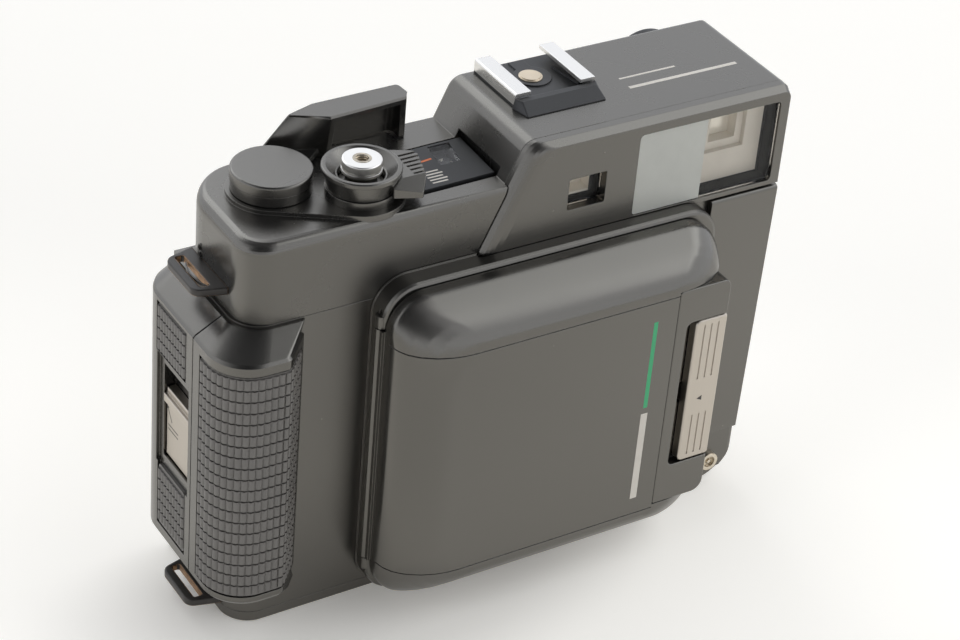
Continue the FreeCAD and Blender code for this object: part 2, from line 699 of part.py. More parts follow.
def shoe_rails():
    rails = []
    for side in (-1, 1):
        corners = [(SHOE_X + side * a, b, 0) for a, b in (
            (SHOE_CHANNEL_HALF, SHOE_FLOOR), (SHOE_HALF, SHOE_FLOOR), (SHOE_HALF, SHOE_TOP),
            (SHOE_LIP_HALF, SHOE_TOP), (SHOE_LIP_HALF, SHOE_LIP_LOW),
            (SHOE_CHANNEL_HALF, SHOE_LIP_LOW))]
        rail = slab(corners, "y", SHOE_FRONT, SHOE_BACK)
        outer = SHOE_X + side * SHOE_HALF
        rails.append(soften(rail, 0.5, lambda p: near(p.z, SHOE_TOP) and near(p.x, outer)))
    return Part.makeCompound(rails)


def shoe_contact():
    low = rod(SHOE_X - 0.5, CONTACT_Y, SHOE_FLOOR + 0.3, SHOE_FLOOR + 0.5, 2.7)
    return join([low, rod(SHOE_X - 0.5, CONTACT_Y, SHOE_FLOOR + 0.5, SHOE_FLOOR + 0.7, 2.3)])


# Grip

def grip_plan(grow, left=GRIP_LEFT, front=GRIP_FRONT, r=GRIP_CORNER_R):
    """Plan of the front grip: its right wall leans out towards the body."""
    foot = GRIP_RIGHT + grow * math.sqrt(1 + GRIP_LEAN ** 2)
    edge = foot + GRIP_LEAN * (front - grow - BODY_FRONT)
    return [
        (left - grow, SIDE_SPLIT_Y, 0),
        (left - grow, front - grow, r),
        (edge, front - grow, min(2.0, (BODY_FRONT - front) / 2)),
        (foot, BODY_FRONT, 0),
        (foot, SIDE_SPLIT_Y, 0),
    ]


def grip_shell():
    under = grip_plan(0, GRIP_LEFT + UNDERCUT_IN, GRIP_FRONT + UNDERCUT_IN, GRIP_CORNER_R - 3)
    shoulder = grip_plan(0, BOX_LEFT - SHOULDER_LIP, BODY_FRONT - SHOULDER_LIP, CORNER_R + 0.5)
    block = frustum("z", [
        (SIDE_LOW - UNDERCUT_DROP, under),
        (SIDE_LOW - 0.4, grip_plan(-0.5)),
        (SIDE_LOW + 0.5, grip_plan(0)),
        (SIDE_HIGH - 0.4, grip_plan(0)),
        (SIDE_HIGH + 0.2, grip_plan(-0.5)),
        (SIDE_HIGH + SHOULDER_RISE, shoulder),
    ])
    body = slab(body_plan(SEAM, CHASSIS_BACK), "z", 0, CHASSIS_TOP + 10)
    return block.cut([body, pad_band(-PAD_T, 3.0)])


def pad_band(inner, outer):
    """Band round the grip between two offsets of its plan."""
    band = slab(grip_plan(outer), "z", PAD_LOW, PAD_HIGH).cut(
        slab(grip_plan(inner), "z", PAD_LOW - 1, PAD_HIGH + 1))
    window = box(GRIP_LEFT - 5, PAD_END_X, GRIP_FRONT - 5, PAD_SIDE_Y, PAD_LOW, PAD_HIGH)
    return band.common(window)


def grip_pad():
    return pad_band(-PAD_T, PAD_PROUD)


# Strap lugs, screws and flash terminal

def strap_lug(wall_x, out, z, front, back):
    """Stamped plate standing out from the side, with a long slot for the strap."""
    plate = slab([(wall_x, front, 0), (out, front + 2, 2.4), (out, back - 2, 2.4),
                  (wall_x, back, 0)], "z", z, z + LUG_T)
    plate = soften(plate, 0.35, lambda p: near(p.z, z + LUG_T) and p.x < wall_x - 0.2)
    slot = slab(rect(out + 1.9, out + 4.1, front + 2.6, back - 2.4, 0.6), "z", z - 1, z + 3)
    return plate.cut(slot)


def flash_terminal():
    ring = tube(rod_y, 64.5, 6.0, BODY_FRONT - 1.4, BODY_FRONT, 2.4, 1.5)
    floor = rod_y(64.5, 6.0, BODY_FRONT - 0.4, BODY_FRONT, 1.6)
    pin = rod_y(64.5, 6.0, BODY_FRONT - 1.2, BODY_FRONT - 0.3, 0.5)
    return join([ring, floor, pin])


# Front frame, hinge and door

def frame_outline(inset=0.0):
    return rect(FRAME_LEFT + inset, FRAME_RIGHT - inset, FRAME_LOW + inset, FRAME_TOP - inset,
                FRAME_R - inset)


def knuckle(low, high):
    return rod(HINGE_X, HINGE_Y, low, high, KNUCKLE_R)


def knuckle_spans():
    """Heights of the two fixed knuckles, and of the door's long one between them."""
    return ((HINGE_LOW, HINGE_LOW + KNUCKLE_LEN), (HINGE_TOP - KNUCKLE_LEN, HINGE_TOP),
            (HINGE_LOW + KNUCKLE_LEN + 0.2, HINGE_TOP - KNUCKLE_LEN - 0.2))


def front_frame():
    """Raised ring on the body front, which the door closes on."""
    ring = frustum("y", [
        (FRAME_FRONT, frame_outline(0.9)),
        (FRAME_FRONT + 0.25, frame_outline(0.3)),
        (FRAME_FRONT + 0.9, frame_outline()),
        (BODY_FRONT - SEAM, frame_outline()),
    ])
    root = slab(frame_outline(-0.3), "y", BODY_FRONT - 0.5, BODY_FRONT - SEAM)
    low, high, middle = knuckle_spans()
    knuckles = [knuckle(*span) for span in (low, high)]
    cuts = [box(LENS_X - MOUTH_HALF, LENS_X + MOUTH_HALF, FRAME_FRONT - 1, BODY_FRONT + 1,
                LENS_Z - MOUTH_HALF, LENS_Z + MOUTH_HALF)]
    cuts.append(slab(house_corners(HOUSE_LOW - 0.1, left=-0.3), "y", BEZEL_FRONT - 0.2, BODY_FRONT + 1))
    room = KNUCKLE_R + HINGE_ROOM
    cuts.append(box(HINGE_X - 5, HINGE_X + room, FRAME_FRONT - 1, HINGE_Y + room,
                    middle[0] - 0.2, middle[1] + 0.2))
    cuts.append(tongue_way(FRAME_FRONT - 1, FRAME_FRONT + 3.0, 1.8))
    cuts.append(rod(HINGE_X, HINGE_Y, HINGE_LOW - 1, HINGE_TOP + 1, HINGE_PIN_R))
    return join([ring, root] + knuckles).cut(cuts)


def front_hinge_pin():
    return rod(HINGE_X, HINGE_Y, HINGE_LOW + 0.2, HINGE_TOP - 0.2, HINGE_PIN_R)


def door_form(inset):
    """Outer form of the front door, or the hollow inside it: outlines that shrink towards the face."""
    rim = rect(DOOR_LEFT + inset, DOOR_RIGHT - inset, DOOR_LOW + inset, DOOR_TOP - inset,
               DOOR_CORNER_R - inset)
    front = DOOR_FRONT + inset
    span = front - DOOR_EDGE_Y
    levels = [(DOOR_REAR + 1, rim), (DOOR_EDGE_Y + 0.9, rim)]
    for t in (0.0, 0.06, 0.2, 0.4, 0.6, 0.8, 0.92, 0.98, 1.0):
        left, right, low, top, r = door_shrink(t)
        levels.append((DOOR_EDGE_Y + span * t, rect(
            DOOR_LEFT + inset + left, DOOR_RIGHT - inset - right, DOOR_LOW + inset + low,
            DOOR_TOP - inset - top, DOOR_CORNER_R - inset + r)))
    return frustum("y", levels[::-1])


def door_shrink(t):
    """How far each edge has come in at the share t of the way from the rim to the face."""
    soft = 1 - math.sqrt(max(0.0, 1 - t ** 2.6))
    left = 11.0 * (0.45 * t ** 1.5 + 0.55 * soft) + 0.2
    right = 9.0 * (0.45 * t ** 1.5 + 0.55 * soft) + 0.2
    top = DOOR_RISE * (0.62 * t + 0.38 * soft) + 0.2
    return left, right, top, top, 0.6 * t


def engraved(z):
    """Thin line round the door's face and its left side at one height."""
    band = box(DOOR_LEFT - 1, BLOCK_LEFT, DOOR_FRONT - 1, DOOR_EDGE_Y + 1.5, z - 0.15, z + 0.15)
    return band.cut(door_form(0.25))


def front_door():
    shell = door_form(0)
    hollow = door_form(DOOR_WALL).fuse(box(DOOR_LEFT + 3, DOOR_RIGHT - 3, DOOR_EDGE_Y, DOOR_REAR + 2,
                                           DOOR_LOW + 3, DOOR_TOP - 3).common(
        slab(rect(DOOR_LEFT + DOOR_WALL, DOOR_RIGHT - DOOR_WALL, DOOR_LOW + DOOR_WALL, DOOR_TOP - DOOR_WALL,
                  DOOR_CORNER_R - DOOR_WALL), "y", DOOR_EDGE_Y - 1, DOOR_REAR + 3)))
    keep = box(BLOCK_LEFT - 1, DOOR_RIGHT + 1, DOOR_FRONT - 1, DOOR_REAR + 3, DOOR_LOW, DOOR_TOP)
    hollow = hollow.cut(keep)
    cuts = [hollow, box(DOOR_LEFT - 1, DOOR_RIGHT + 1, DOOR_REAR, DOOR_REAR + 3, 0, 90)]
    cuts.append(box(BLOCK_LEFT, BLOCK_RIGHT + 8, DOOR_FRONT - 1, DOOR_REAR - 2, BLOCK_LOW, BLOCK_TOP))
    cuts.append(tongue_way(DOOR_REAR - 3, DOOR_REAR + 1, 0.3))
    for z in (LINE_LOW, LINE_TOP):
        cuts.append(engraved(z))
    shell = shell.cut(cuts)
    middle = knuckle_spans()[2]
    leaf = box(HINGE_X - 0.8, HINGE_X + 1.0, DOOR_REAR - 2.0, HINGE_Y, *middle)
    door = join([shell, knuckle(*middle), leaf.cut(box(HINGE_X - 3, DOOR_LEFT, DOOR_REAR - 3,
                                                       DOOR_REAR, *middle))])
    return door.cut(rod(HINGE_X, HINGE_Y, HINGE_LOW - 1, HINGE_TOP + 1, HINGE_PIN_R + RUN))


def tongue_way(front, back, gap):
    """Room for the latch tongue and its travel."""
    return box(TONGUE_LEFT - BAR_TRAVEL - gap, TONGUE_LEFT + TONGUE_T + gap, front, back,
               LENS_Z - TONGUE_HALF - gap, LENS_Z + TONGUE_HALF + gap)


def latch_block():
    """Block on the door's right end that the latch bar slides on."""
    outline_xz = [(BLOCK_LEFT + 0.15, BLOCK_LOW + 0.1, 0.6), (BLOCK_RIGHT, BLOCK_LOW + 0.1, 3.0),
                  (BLOCK_RIGHT, BLOCK_TOP - 0.1, 2.0), (BLOCK_LEFT + 0.15, BLOCK_TOP - 0.1, 0.6)]
    block = slab(outline_xz, "y", DOOR_FRONT, DOOR_REAR - 2.1)
    recess = slab([(BAR_LEFT - BAR_TRAVEL - 0.4, BAR_LOW - 0.3, 1.6), (BLOCK_RIGHT + 3, BAR_LOW - 0.3, 0),
                   (BLOCK_RIGHT + 3, BAR_TOP + 0.3, 0), (BAR_LEFT - BAR_TRAVEL - 0.4, BAR_TOP + 0.3, 1.6)],
                  "y", DOOR_FRONT - 1, DOOR_FRONT + BAR_T + 0.3)
    block = block.cut([recess, tongue_way(DOOR_FRONT, DOOR_REAR, 0.3)])
    return soften(block, 0.3, lambda p: near(p.y, DOOR_FRONT))


def door_latch():
    """Sliding bar of the door latch, with its tongue into the frame."""
    bar = slab([(BAR_LEFT, BAR_LOW, 1.3), (BAR_RIGHT, BAR_LOW, 0.8), (BAR_RIGHT, BAR_TOP, 0.8),
                (BAR_LEFT, BAR_TOP, 1.3)], "y", DOOR_FRONT + 0.1, DOOR_FRONT + BAR_T)
    bar = soften(bar, 0.5, lambda p: near(p.y, DOOR_FRONT + 0.1))
    for share in (0.28, 0.5, 0.72):
        x = BAR_LEFT + share * (BAR_RIGHT - BAR_LEFT)
        for low, high in ((BAR_LOW + 1.5, LENS_Z - 5.5), (LENS_Z + 4.5, BAR_TOP - 1.5)):
            bar = bar.cut(box(x - 0.2, x + 0.2, DOOR_FRONT, DOOR_FRONT + 0.35, low, high))
    tongue = box(TONGUE_LEFT, TONGUE_LEFT + TONGUE_T, DOOR_FRONT + BAR_T - 0.1, FRAME_FRONT + 1.5,
                 LENS_Z - TONGUE_HALF, LENS_Z + TONGUE_HALF)
    return join([bar, tongue])


# Lens unit

def lens_standard():
    """Plate that carries the lens and closes the front of the bellows."""
    rear = STANDARD_FRONT + STANDARD_T
    plate = slab(rect(LENS_X - STANDARD_HALF, LENS_X + STANDARD_HALF, LENS_Z - STANDARD_HALF,
                      LENS_Z + STANDARD_HALF, 3.0), "y", STANDARD_FRONT, rear)
    neck = tube(rod_y, LENS_X, LENS_Z, rear - 0.1, rear + 6.0, 16.0, 14.0)
    return join([plate, neck]).cut(rod_y(LENS_X, LENS_Z, STANDARD_FRONT - 1, rear + 1, 14.0))


def shutter_housing():
    """Leaf shutter and lens tube: a drum on the standard, and a core that the rings turn on."""
    drum = rod_y(LENS_X, LENS_Z, RINGS["aperture_ring"][1] + 0.2, STANDARD_FRONT, BARREL_R)
    core = rod_y(LENS_X, LENS_Z, BARREL_FRONT + 1.0, STANDARD_FRONT - 1, BARREL_CORE_R)
    bore = rod_y(LENS_X, LENS_Z, BARREL_FRONT - 1, STANDARD_FRONT + 1, 16.0)
    return join([drum, core]).cut(bore)


def front_rim():
    ring = tube(rod_y, LENS_X, LENS_Z, BARREL_FRONT, BARREL_FRONT + 0.9, BARREL_R - 0.6, 17.5)
    sleeve = tube(rod_y, LENS_X, LENS_Z, BARREL_FRONT + 0.8, BARREL_FRONT + 4.0, 15.95, 14.0)
    lip = tube(rod_y, LENS_X, LENS_Z, BARREL_FRONT + 0.6, BARREL_FRONT + 0.9, 18.0, 14.0)
    return join([ring, sleeve, lip])


def front_glass():
    body = rod_y(LENS_X, LENS_Z, BARREL_FRONT + 1.6, BARREL_FRONT + 4.0, 13.95)
    dome = Part.makeSphere(34.0, vec(LENS_X, BARREL_FRONT + 1.2 + 34.0, LENS_Z))
    return rod_y(LENS_X, LENS_Z, BARREL_FRONT + 0.8, BARREL_FRONT + 4.0, 13.95).common(dome).fuse(
        body.common(dome))


def rear_glass():
    rear = STANDARD_FRONT + STANDARD_T + 6.0
    dome = Part.makeSphere(40.0, vec(LENS_X, rear - 0.5 - 40.0, LENS_Z))
    return rod_y(LENS_X, LENS_Z, rear - 3.5, rear - 0.1, 13.95).common(dome)


def control_ring(name):
    """Ring round the lens core, with a knurled or lobed edge."""
    rear_first, front_last = RINGS[name]
    ring = tube(rod_y, LENS_X, LENS_Z, rear_first, front_last, RING_R, BARREL_CORE_R + RUN)
    notches = []
    count = {"aperture_ring": 12, "shutter_ring": 16, "focus_ring": 36}[name]
    for i in range(count):
        angle = math.radians(360.0 * i / count)
        notches.append(rod_y(LENS_X + (RING_R + 0.9) * math.cos(angle),
                             LENS_Z + (RING_R + 0.9) * math.sin(angle),
                             rear_first + 0.6, front_last - 0.6, 1.4))
    return ring.cut(notches)


def bellows():
    """Pleated light-tight sleeve between the standard and the film gate, folded flat."""
    front = STANDARD_FRONT + STANDARD_T + 0.1
    back = GATE_FRONT - 0.1
    step = (back - front) / (2 * BELLOWS_FOLDS)
    outer = []
    inner = []
    for i in range(2 * BELLOWS_FOLDS + 1):
        half = BELLOWS_OUT if i % 2 else BELLOWS_IN
        y = front + i * step
        outer.append((y, fold(half)))
        inner.append((y, fold(half - 1.6)))
    inner[0] = (front - 0.5, inner[0][1])
    inner[-1] = (back + 0.5, inner[-1][1])
    return frustum("y", outer).cut(frustum("y", inner))


def fold(half):
    """Square section with cut corners."""
    cut = 5.0
    x0, x1, z0, z1 = LENS_X - half, LENS_X + half, LENS_Z - half, LENS_Z + half
    return [(x0 + cut, z0, 0), (x1 - cut, z0, 0), (x1, z0 + cut, 0), (x1, z1 - cut, 0),
            (x1 - cut, z1, 0), (x0 + cut, z1, 0), (x0, z1 - cut, 0), (x0, z0 + cut, 0)]


# Wind lever, button and lock

def wind_lever():
    """Hub plate and raised thumb arm behind the disc, hollow towards the front."""
    foot = [(WIND_X + 1.9, WIND_Y + 11.8, 0.3), (WIND_X + 12.0, LEVER_BACK - 0.2, 2.0),
            (LEVER_END, LEVER_BACK, 1.0), (LEVER_END + 0.3, WIND_Y + 10.2, 1.0),
            (LEVER_END - 0.9, WIND_Y + 8.0, 0.8), (WIND_X + 17.0, WIND_Y + 7.0, 0.4)]
    crest = [(WIND_X + 9.2, WIND_Y + 11.7, 0.3), (WIND_X + 16.3, LEVER_BACK - 0.2, 2.0)] + foot[2:5] + [
        (WIND_X + 17.6, WIND_Y + 6.8, 0.4)]
    arm = frustum("z", [(LEVER_FOOT, foot), (HUB_LOW + 1.0, foot), (LEVER_TOP - 0.5, crest),
                        (LEVER_TOP, [(x + 0.2 * (k < 2), y - 0.3 + 0.6 * (k in (4, 5)), r)
                                     for k, (x, y, r) in enumerate(crest)])])
    right, front, back = LEVER_END - 2.4, WIND_Y + 3, LEVER_BACK - 2.6
    hollow = frustum("z", [
        (LEVER_FOOT - 0.1, [(WIND_X + 18.4, front, 0), (right, front, 0), (right, back, 1.5),
                   (WIND_X + 17.4, back, 3.0)]),
        (LEVER_TOP - 1.5, [(WIND_X + 19.2, front, 0), (right, front, 0), (right, back - 0.4, 1.5),
                           (WIND_X + 18.6, back - 0.4, 3.0)]),
    ])
    hub = rod(WIND_X, WIND_Y, HUB_LOW, HUB_HIGH, WIND_R - 0.15)
    web = slab([(WIND_X - 3, WIND_Y, 0), (WIND_X + 6, WIND_Y, 0), (WIND_X + 16.0, WIND_Y + 8.2, 0),
                (WIND_X + 4.5, WIND_Y + 11.6, 0)], "z", HUB_LOW, HUB_LOW + 1.2)
    shaft = rod(WIND_X, WIND_Y, CHASSIS_TOP + 4, HUB_LOW + 1, 3.5)
    return join([hub, web, arm.cut(hollow), shaft])


def wind_cap():
    cap = rod(WIND_X, WIND_Y, HUB_HIGH + 0.1, WIND_TOP, WIND_R)
    cap = soften(cap, 0.5, lambda p: near(p.z, WIND_TOP))
    neck = rod(WIND_X, WIND_Y, HUB_HIGH, HUB_HIGH + 0.2, WIND_R - 0.6)
    return join([cap, neck])


def shutter_button():
    """Release button with a flange under its head and a tapered-cable thread down its middle."""
    head = rod(BUTTON_X, BUTTON_Y, BUTTON_TOP - 1.6, BUTTON_TOP, BUTTON_R)
    head = soften(head, 0.3, lambda p: near(p.z, BUTTON_TOP))
    waist = rod(BUTTON_X, BUTTON_Y, BUTTON_TOP - 6.0, BUTTON_TOP - 1.6, BUTTON_R - 0.9)
    skirt = rod(BUTTON_X, BUTTON_Y, BUTTON_TOP - 2.9, BUTTON_TOP - 2.2, BUTTON_R + 0.05)
    stem = rod(BUTTON_X, BUTTON_Y, CHASSIS_TOP + 6, BUTTON_TOP - 6.0, 3.0)
    thread = rod(BUTTON_X, BUTTON_Y, BUTTON_TOP - RELEASE_THREAD_LEN, BUTTON_TOP + 1, RELEASE_THREAD_R)
    return join([head, waist, skirt, stem]).cut(thread)


def cone(low, high, r_low, r_high):
    """Cone frustum on the button's axis."""
    return Part.makeCone(r_low, r_high, high - low, vec(BUTTON_X, BUTTON_Y, low), UP)


def lock_collar():
    """Turning lock round the button: a dished, tapering drum with a ribbed tab."""
    drum = cone(COLLAR_BASE, COLLAR_TOP - 0.9, COLLAR_R - 1.3, COLLAR_R - 0.5)
    flange = rod(BUTTON_X, BUTTON_Y, COLLAR_TOP - 1.1, COLLAR_TOP, COLLAR_R)
    flange = soften(flange, 0.35, lambda p: near(p.z, COLLAR_TOP))
    top = COLLAR_BASE + TAB_T
    spots = [(-25.5, 1.6), (-21.0, -0.4), (-16.9, -2.6), (-19.6, -11.6), (-22.5, -15.8), (-28.4, -13.4)]
    tab = slab([(x, y, r) for (x, y), r in zip(spots, (0, 1.5, 1.5, 0.6, 0.8, 0.5))], "z", COLLAR_BASE, top)
    slope = slab([(BUTTON_Y - 12.0, COLLAR_BASE + 0.7, 0), (BUTTON_Y - 5.6, top, 0),
                  (BUTTON_Y - 5.6, top + 2, 0), (BUTTON_Y - 12.0, top + 2, 0)],
                 "x", BUTTON_X - 2, BUTTON_X + 20)
    cuts = [slope]
    for i in range(6):
        y = BUTTON_Y - 4.9 + 1.5 * i
        cuts.append(box(BUTTON_X + 9.9, BUTTON_X + 18, y - 0.35, y + 0.35, top - 0.45, top + 1))
    well = rod(BUTTON_X, BUTTON_Y, COLLAR_BASE - 1, COLLAR_TOP + 1, BUTTON_R + 0.8)
    dish = cone(COLLAR_TOP - 2.2, COLLAR_TOP + 0.3, BUTTON_R + 1.1, COLLAR_R - 0.75)
    return join([drum, flange, tab.cut(cuts)]).cut([well, dish])


def collar_seat():
    base = DECK_TOP + PLATEAU_T
    ring = rod(BUTTON_X, BUTTON_Y, base, base + 1.9, COLLAR_R - 1.0)
    bush = rod(BUTTON_X, BUTTON_Y, base, base + 3.0, BUTTON_R + 0.5)
    return join([ring, bush]).cut(rod(BUTTON_X, BUTTON_Y, base - 2, base + 4, BUTTON_R - 0.9 + RUN))


# Back door

def side_plan(left, back, r):
    return [
        (left, SIDE_SPLIT_Y + SIDE_GAP, 0),
        (left, back, r),
        (BOX_LEFT + 6, back, 0),
        (BOX_LEFT + 6, SIDE_SPLIT_Y + SIDE_GAP, 0),
    ]


def back_spans():
    third = (BACK_HIGH - BACK_LOW) / 5
    low = BACK_LOW + third
    return ((BACK_LOW + 0.2, low - 0.1), (low + 0.1, BACK_HIGH - third - 0.1),
            (BACK_HIGH - third + 0.1, BACK_HIGH - 0.2))


def back_door():
    """Back of the camera, in one piece with the rear half of the grip side."""
    side = frustum("z", [
        (SIDE_LOW - UNDERCUT_DROP, side_plan(GRIP_LEFT + UNDERCUT_IN, BACK - 0.5, 7.0)),
        (SIDE_LOW - 0.4, side_plan(GRIP_LEFT + 0.5, BACK, 8.5)),
        (SIDE_LOW + 0.5, side_plan(GRIP_LEFT, BACK, 9.0)),
        (SIDE_HIGH - 0.4, side_plan(GRIP_LEFT, BACK, 9.0)),
        (SIDE_HIGH + 0.2, side_plan(GRIP_LEFT + 0.5, BACK, 8.5)),
        (SIDE_HIGH + SHOULDER_RISE, side_plan(BOX_LEFT - SHOULDER_LIP, BACK - 0.8, 6.0)),
    ])
    panel = slab([(BOX_LEFT + 1, CHASSIS_BACK + 0.15, 0), (BOX_LEFT + 1, BACK, 0),
                  (BACK_HINGE_X - 3.4, BACK, 0), (BACK_HINGE_X - 3.4, CHASSIS_BACK + 0.15, 0)],
                 "z", BACK_LOW, BACK_HIGH)
    inside = box(BOX_LEFT - 0.15, 80, -30, CHASSIS_BACK + 0.15, 0, 120)
    over = box(BOX_LEFT - 0.2, 80, -30, 40, BACK_HIGH, 120)
    door = join([side.cut([inside, over]), panel])
    x = GRIP_LEFT
    cuts = [box(x - 1, x + 0.8, -6.0, 9.5, 33.0, 62.4)]
    cuts.append(box(x - 1, x + 3.6, -5.5, 7.5, 35.5, 60.0))
    for low, high, y0, y1 in PADS:
        cuts.append(box(x - 1, x + PAD_T - 0.1, y0, y1, low, high))
    for z in (LENS_Z - 18, LENS_Z + 18):
        cuts.append(rod_y(LENS_X, z, CHASSIS_BACK - 1, CHASSIS_BACK + 2.6, 2.0 + RUN))
    door = door.cut(cuts)
    low, middle, high = back_spans()
    arm = box(BACK_HINGE_X - 3.6, BACK_HINGE_X, BACK_HINGE_Y - 1.4, BACK_HINGE_Y + 1.4, *middle)
    barrel = rod(BACK_HINGE_X, BACK_HINGE_Y, middle[0], middle[1], BACK_KNUCKLE_R - 0.4)
    door = join([door, arm, barrel])
    return door.cut(rod(BACK_HINGE_X, BACK_HINGE_Y, 0, 90, BACK_PIN_R + RUN))


def side_pad(spec):
    low, high, y0, y1 = spec
    x = GRIP_LEFT
    return box(x - PAD_PROUD, x + PAD_T - 0.1, y0 + 0.1, y1 - 0.1, low + 0.1, high - 0.1)


def back_latch():
    """Sliding catch in the side of the back door: a plain plate with a thick top."""
    x = GRIP_LEFT
    plate = box(x + 1.3, x + 3.4, -5.1, 7.1, 35.9, CATCH_TOP)
    ridge = box(x + 0.5, x + 1.5, -5.1, 7.1, CATCH_TOP - 3.4, CATCH_TOP - 1.4)
    ridge = soften(ridge, 0.25, lambda p: near(p.x, x + 0.5))
    return join([soften(plate, 0.3, lambda p: near(p.x, x + 1.3)), ridge])


def back_hinge():
    """Fixed knuckles on the chassis."""
    pieces = []
    low, middle, high = back_spans()
    for span in (low, high):
        pieces.append(rod(BACK_HINGE_X, BACK_HINGE_Y, span[0], span[1], BACK_KNUCKLE_R - 0.4))
        pieces.append(box(BACK_HINGE_X - 1.6, BACK_HINGE_X + 1.6, CHASSIS_BACK, BACK_HINGE_Y, *span))
    return join(pieces).cut(rod(BACK_HINGE_X, BACK_HINGE_Y, 0, 90, BACK_PIN_R))


def back_hinge_pin():
    return rod(BACK_HINGE_X, BACK_HINGE_Y, BACK_LOW + 0.4, BACK_HIGH - 0.4, BACK_PIN_R)


def pressure_plate():
    y = GATE_BACK + RAIL_T + 0.3
    half_w, half_h = GATE_PLATE_HALF_W - 0.2, GATE_H / 2 + 2.0
    plate = slab(rect(LENS_X - half_w, LENS_X + half_w, LENS_Z - half_h, LENS_Z + half_h, 2.0),
                 "y", y, y + 1.2)
    studs = [rod_y(LENS_X, z, y + 1.0, CHASSIS_BACK + 1.2, 2.0) for z in (LENS_Z - 18, LENS_Z + 18)]
    return join([plate] + studs)


PIECES = {
    "main_body": main_body,
    "base_cover": base_cover,
    "tripod_socket": tripod_socket,
    "battery_cap": battery_cap,
    "base_screws": base_screws,
    "film_gate": film_gate,
    "takeup_key": lambda: spool_key(TAKEUP_X),
    "supply_key": lambda: spool_key(SUPPLY_X),
    "takeup_pin": lambda: spool_pin(TAKEUP_X),
    "supply_pin": lambda: spool_pin(SUPPLY_X),
    "takeup_roller": lambda: film_roller(ROLLER_X[0]),
    "supply_roller": lambda: film_roller(ROLLER_X[1]),
    "top_cover": top_cover,
    "finder_bezel": finder_bezel,
    "finder_window": finder_window,
    "frosted_window": frosted_window,
    "rangefinder_window": rangefinder_window,
    "finder_block": finder_block,
    "finder_objective": finder_objective,
    "rangefinder_block": rangefinder_block,
    "eyepiece_ring": eyepiece_ring,
    "eyepiece_lens": eyepiece_lens,
    "counter_panel": counter_panel,
    "counter_window": counter_window,
    "counter_dial": counter_dial,
    "dial_post": dial_post,
    "shoe_base": shoe_base,
    "shoe_rails": shoe_rails,
    "shoe_contact": shoe_contact,
    "grip_shell": grip_shell,
    "grip_pad": grip_pad,
    "upper_strap_lug": lambda: strap_lug(*UPPER_LUG),
    "lower_strap_lug": lambda: strap_lug(*LOWER_LUG),
    "flash_terminal": flash_terminal,
    "front_frame": front_frame,
    "front_hinge_pin": front_hinge_pin,
    "front_door": front_door,
    "latch_block": latch_block,
    "door_latch": door_latch,
    "lens_standard": lens_standard,
    "shutter_housing": shutter_housing,
    "front_rim": front_rim,
    "front_glass": front_glass,
    "rear_glass": rear_glass,
    "aperture_ring": lambda: control_ring("aperture_ring"),
    "shutter_ring": lambda: control_ring("shutter_ring"),
    "focus_ring": lambda: control_ring("focus_ring"),
    "bellows": bellows,
    "wind_lever": wind_lever,
    "wind_cap": wind_cap,
    "shutter_button": shutter_button,
    "lock_collar": lock_collar,
    "collar_seat": collar_seat,
    "back_door": back_door,
    "upper_side_pad": lambda: side_pad(PADS[0]),
    "lower_side_pad": lambda: side_pad(PADS[1]),
    "back_latch": back_latch,
    "back_hinge": back_hinge,
    "back_hinge_pin": back_hinge_pin,
    "pressure_plate": pressure_plate,
}

os.makedirs("parts", exist_ok=True)
for name, make in PIECES.items():
    shape = make()
    solids = len(shape.Solids)
    if not shape.isValid() or solids == 0:
        print("not valid:", name, solids)
    shape.exportStep("parts/%s.step" % name)
    print("%-20s solids %d, volume %.0f mm3" % (name, solids, shape.Volume))
